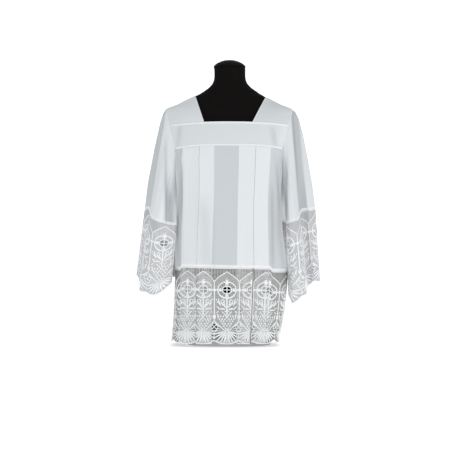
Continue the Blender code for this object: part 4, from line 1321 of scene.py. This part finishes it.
def armhole_ring(turn):
    """Armhole's edge by share of a turn, from the shoulder point down the front and up the back."""
    away = np.minimum(turn, 1 - turn) * 2
    z_fine = UNDERARM_Z + (ARMHOLE[0, 0] - UNDERARM_Z) * (1 - np.linspace(0, 1, 400) ** 2)
    low = [(UNDERARM_Z, smooth(DRAPE, UNDERARM_Z)[1])]
    x_fine = np.interp(z_fine, *np.vstack([low, ARMHOLE[::-1]]).T)
    y_fine = depth_at(x_fine, z_fine, -SKIN)
    y_fine[[0, -1]] = 0.0
    fine = np.column_stack([x_fine, y_fine, z_fine])
    length = run_length(fine)
    ring = np.column_stack([np.interp(away * length[-1], length, column) for column in fine.T])
    return ring * np.column_stack([0 * turn + 1, np.where(turn <= 0.5, -1, 1), 0 * turn + 1])


def closed_smooth(table, turn):
    """Columns of a closed table at the given shares of a turn, smooth across its ends."""
    wrapped = np.vstack([table[-3:], table, table[:3]])
    wrapped[:3, 0] -= 1
    wrapped[-3:, 0] += 1
    return smooth(wrapped, turn)


def around(grid, side):
    """Outward normals of a tube whose last column repeats its first."""
    normals = grid_normals(grid[:, :-1], True) * side
    return np.concatenate([normals, normals[:, :1]], axis=1)


# Sleeve creases: share of a turn at the armhole and at the seam, half-width in turns, height, and
# the shares of the way down where it begins and ends
SLEEVE_CREASES = {
    "left": np.array([
        (330, 330, 22, -4.5, 150, 1200),
        (385, 385, 26, -5, 350, 1200),
        (430, 445, 20, 4, 450, 1100),
        (860, 850, 30, 4, 100, 1200),
        (940, 930, 26, -4, 200, 1200),
    ]) / 1000,
    "right": np.array([
        (270, 275, 22, 3, 100, 1200),
        (380, 390, 24, -4, 400, 1200),
        (560, 560, 30, -3, 300, 1200),
        (840, 840, 26, 4, 100, 1200),
        (930, 920, 26, -4, 200, 1200),
    ]) / 1000,
}
# Long fold of a sleeve: distance out at two heights, then how wide the strip behind the fold is at
# the armhole and at the seam (wider than the sleeve where the strip runs to its outer line)
SLEEVE_FOLD = {
    "left": ((0.2180, 0.835), (0.2745, 0.470), (0.090, 0.090)),
    "right": ((0.2131, 0.835), (0.2430, 0.470), (0.030, 0.030)),
}
FOLD_DEEP = 0.008       # how far the strip behind it is set back
# Painted shade in a sleeve's valleys: a line out and down, its half-width and its strength
SLEEVE_SHADE = {
    "left": np.array([(221, 780, 218, 300, 5.5, 1000), (212, 640, 204, 220, 11, 1450),
                      (195, 640, 194, 220, 9, 1000)]) / 1000,
    "right": np.array([(218, 900, 242, 480, 6, 350), (202, 720, 198, 350, 6, 1100),
                       (190, 660, 196, 400, 8, 500)]) / 1000,
}


def behind_fold(word, points):
    """How far a sleeve's points are behind its long fold, 0 to 1, at the front and the back."""
    (x0, z0), (x1, z1), (wide0, wide1) = SLEEVE_FOLD[word]
    down = (z0 - points[..., 2]) / (z0 - z1)
    past = np.abs(points[..., 0]) - x0 - (x1 - x0) * down - np.where(points[..., 1] > 0, 0.006, 0)
    wide = wide0 + (wide1 - wide0) * np.clip(down, 0, 1)
    return ease(past / 0.004) * (1 - ease((past - wide + 0.006) / 0.012)) * ease((down + 0.01) / 0.04)


def sleeve_shade_and_glow(word, points, turn):
    """Painted shade on each point of a sleeve: behind its long fold, in its valleys and over all of
    the right sleeve; below zero, a painted glow where light would seep in between the sleeve and
    the body."""
    out, z = np.abs(points[..., 0]), points[..., 2]
    tone = 1.05 * behind_fold(word, points) + (0.26 if word == "right" else 0.0)
    for row in SLEEVE_SHADE[word]:
        tone = tone + crease(out, z, *row)
    # Painted glow on the inner side, between the sleeve and the body, in place of the painted shade
    painted_glow = ease((turn - 0.465) / 0.03) * ease((0.75 - turn) / 0.06) * ease((0.60 - z) / 0.12)
    return np.clip(tone, 0, 2) * (1 - painted_glow) - 0.62 * painted_glow


def sleeve_push(word, turn, t):
    """Creases of a sleeve at a share of a turn and of the way down."""
    push = 0 * (turn + t)
    for at_hole, at_seam, wide, high, begin, end in SLEEVE_CREASES[word]:
        d = (turn - at_hole - (at_seam - at_hole) * t) / wide
        push = push + high * np.exp(-d * d) * ease((t - begin) / 0.25) * ease((end - t) / 0.15)
    return push


def sleeve_and_cuff(word, side, table, phase0):
    """Sleeve tube, its armhole seam, and the cuff lace with its cords and heading."""
    turn = np.linspace(0, 1, 289)
    sizes = closed_smooth(table, turn)
    mirror = np.array([side, 1, 1])
    seam, edge = sizes[:, 0:3] * mirror, sizes[:, 3:6] * mirror
    hole = armhole_ring(turn) * mirror
    hole[:, 0] += side * (SEAM_STEP + UNDERARM_STEP * np.sin(np.pi * turn) ** 4)
    t = np.linspace(0, 1, 97)[:, None]
    middle = hole + (seam - hole) * t[:, :, None]
    swell = FULLNESS * np.sin(np.pi * t) * np.abs(np.sin(2 * np.pi * turn))
    middle[:, :, 1] += swell * np.where(turn < 0.5, -1, 1)
    full = np.clip(np.cos(2 * np.pi * turn), 0, 1)
    middle[:, :, 0] += side * np.interp(t, *OUTER_SWELL[word].T) * full
    normals = around(middle, side)
    points = middle + normals * sleeve_push(word, turn, t)[:, :, None]
    inset = behind_fold(word, middle) * ease(t / 0.10) * FOLD_DEEP
    points[:, :, 1] -= inset * np.sign(middle[:, :, 1]) * np.abs(normals[:, :, 1])
    normals = around(points, side)
    show_shade_and_glow = sleeve_shade_and_glow(word, points[:, :-1], turn[:-1])
    cloth = put_sheet(f"sleeve_cloth_{word}", points, normals, show_shade_and_glow, closed=True)
    along = run_length(points[0])
    hole_drop = np.linspace(0, SLEEVE_DROP, 97)
    seam_cord = bar((0, 0.0016), (along[-1], 0.0016), 160, 0.0011, 0.0009)
    seam_cord = lay_flat(f"armhole_seam_{word}", Surface(points, normals, along, hole_drop), seam_cord,
                         (0.0, 0.0), TAPE)
    # cuff: straight from seam to edge, with half of the arches on each half of the turn
    down = np.linspace(-0.03, 1, 70)[:, None, None]
    last = points[-1]
    ends = last + (edge - seam)
    hang = last + (ends - last) * down
    deepen = np.clip(down[:, :, 0], 0, 1)
    hang += around(hang, side) * cuff_flutes(word, turn, deepen)[:, :, None]
    normal = around(hang, side)
    length = run_length(hang.mean(axis=0))
    halves = np.interp(0.5, turn, length)
    each = CUFF_REPEATS / 2
    arches = np.where(length <= halves, length / halves * each,
                      each + (length - halves) / (length[-1] - halves) * each)
    deep = np.linalg.norm(ends - last, axis=1).mean()
    surface = Surface(hang, normal, arches * REPEAT, down[:, 0, 0] * deep)
    phase = arches + phase0
    net = net_sheet(f"cuff_net_{word}", surface, phase, np.zeros(0), CUFF_NET, CUFF_SHADE,
                    closed=True)
    whole = [(0.0, CUFF_REPEATS * REPEAT)]
    cords = lay_strands(f"cuff_cords_{word}", surface, phase, whole, MOTIF, THREAD)
    upper = Surface(points, normals, arches * REPEAT, (t[:, 0] - 1) * SLEEVE_DROP)
    heading = lay_strands(f"cuff_heading_{word}", upper, phase, whole, heading_motif(), THREAD, False)
    declare(cloth, "white_cloth", "sleeve_" + word)
    declare(net, "white_lace", f"cuff_lace_{word}_front", f"cuff_lace_{word}_back")
    declare(seam_cord, "white_cloth")
    declare(cords, "white_lace")
    declare(heading, "white_lace")
    return cloth, seam_cord, net, cords, heading


# Flutes of a cuff: share of a turn, half-width in turns, height at the edge
CUFF_FLUTES = {
    "left": [(0.20, 0.022, 0.008), (0.13, 0.035, -0.006), (0.34, 0.030, -0.007), (0.43, 0.025, 0.006),
             (0.58, 0.030, -0.006), (0.69, 0.030, 0.007), (0.83, 0.035, -0.006), (0.94, 0.030, 0.005)],
    "right": [(0.11, 0.030, 0.007), (0.195, 0.022, -0.007), (0.265, 0.025, 0.006),
              (0.42, 0.030, -0.007), (0.54, 0.030, 0.005), (0.67, 0.035, -0.006),
              (0.79, 0.030, 0.007), (0.91, 0.030, -0.005)],
}


def cuff_flutes(word, turn, down):
    """Folds that open towards a cuff's edge."""
    made = 0 * (turn + down)
    for place, wide, high in CUFF_FLUTES[word]:
        away = (np.mod(turn - place + 0.5, 1.0) - 0.5) / wide
        made = made + high * np.exp(-away * away) * (0.15 * down + 0.85 * down ** 1.5)
    return made


def turned(name, table, columns, finish, node, slot):
    """Closed body from rings of (height, half-width, half-depth, power), with fans for its ends."""
    angle = np.linspace(0, 2 * np.pi, columns, endpoint=False)
    height, wide, deep, power = (column[:, None] for column in table.T)
    x, y = superellipse(angle, wide, deep, power)
    x = x + np.interp(height, *FORM_LEAN.T)
    rings = np.stack([x, y, height + 0 * x], axis=-1)
    count = rings.shape[0] * columns
    points = np.vstack([rings.reshape(-1, 3), rings[0].mean(axis=0), rings[-1].mean(axis=0)])
    c = np.arange(0, columns, 2)
    low = np.column_stack([np.full(len(c), count), c, (c + 1) % columns, (c + 2) % columns])
    top = low + [1, *[count - columns] * 3]
    quads = np.vstack([grid_quads(len(table), columns, True), low[:, ::-1], top])
    declare(put_mesh(name, points, quads, finish), slot, node)


# ---------------------------------------------------------------- the object
def build_form():
    """Dress form and neck cap as smooth closed bodies."""
    height = np.unique(np.concatenate([np.linspace(0.0, 0.9795, 150), [0.0015, 0.978]]))
    torso = np.column_stack([height, smooth(TORSO, height)])
    torso[0, 1:3] -= 0.0015
    torso[-1, 1:3] -= 0.0010
    turned("form_torso", torso, 192, BLACK, "dress_form", "black_jersey")
    place = np.linspace(0, 1, 70)[:-1]
    radius, height = smooth(CAP, place).T
    rings = np.column_stack([height, radius, radius, 0 * radius + 2])
    rings = np.vstack([rings, [(CAP[-1, 2], 0.0004, 0.0004, 2)]])
    turned("form_neck_cap", rings, 128, LACQUER, "neck_cap", "black_cap")


def build_garment():
    """Every sheet with the pieces sewn on it."""
    for word, face, top in (("front", -1, YOKE_TOP), ("back", 1, BACK_TOP)):
        cloth, net, cords, heading = garment_panel(word, face)
        band, tapes = yoke_band(word, face, top)
    for word, side in (("left", -1), ("right", 1)):
        made, hem = shoulder_piece(word, side)
    for word, side, table, phase0, lace_area in (("left", -1, LEFT_SLEEVE, 0.5, 0.13),
                                                 ("right", 1, RIGHT_SLEEVE, 0.12, 0.145)):
        cloth, seam, net, cords, heading = sleeve_and_cuff(word, side, table, phase0)


def build_stage():
    """Pale floor that curves up into a backdrop, soft light from all round and a key from the right."""
    run = np.array([(-9.0, 0.0), (6.2, 0.0), *[(6.2 + np.sin(a) * 1.2, 1.2 - np.cos(a) * 1.2)
                    for a in np.linspace(0.1, 1.5, 12)], (7.4, 1.3), (7.4, 8.0)])
    side = np.array([-9.0, 9.0])
    points = np.stack([np.stack([side, 0 * side + y, 0 * side + z - 0.0005], axis=-1) for y, z in run])
    mesh = bpy.data.meshes.new("studio_sweep")
    quads = grid_quads(len(run), 2)
    mesh.from_pydata(points.reshape(-1, 3).tolist(), [], quads.tolist())
    mesh.polygons.foreach_set("use_smooth", np.ones(len(quads), bool))
    mesh.materials.append(stage_finish("studio_paper", (0.93, 0.93, 0.93)))
    placed("studio_sweep", mesh)
    world = bpy.data.worlds.new("studio_air")
    world.use_nodes = True
    colour, strength = world.node_tree.nodes["Background"].inputs[:2]
    colour.default_value = (0.96, 0.98, 1.0, 1)
    strength.default_value = 0.66
    bpy.context.scene.world = world
    lamp = bpy.data.lights.new("key", "AREA")
    lamp.shape, lamp.size, lamp.energy = "DISK", 1.5, 23.0
    key, aim = placed("key", lamp), Vector((0.0, 0.0, 0.5))
    key.location = (1.9, -3.3, 1.9)
    key.rotation_euler = (aim - key.location).to_track_quat("-Z", "Y").to_euler()


def build_camera():
    """Level camera straight in front, far enough for almost parallel lines."""
    away, to_cloth = 5.0, 4.94
    pixel, pixels = 0.0035, 458
    lens = bpy.data.cameras.new("camera")
    lens.sensor_width = 36.0
    lens.lens = 36.0 * to_cloth / (pixel * pixels)
    eye = placed("camera", lens)
    eye.location = (0.0, -away, 0.409)
    eye.rotation_euler = (np.pi / 2, 0.0, 0.0)
    bpy.context.scene.camera = eye


build_form()
build_garment()
build_stage()
build_camera()
bpy.context.scene.view_settings.view_transform = "Standard"
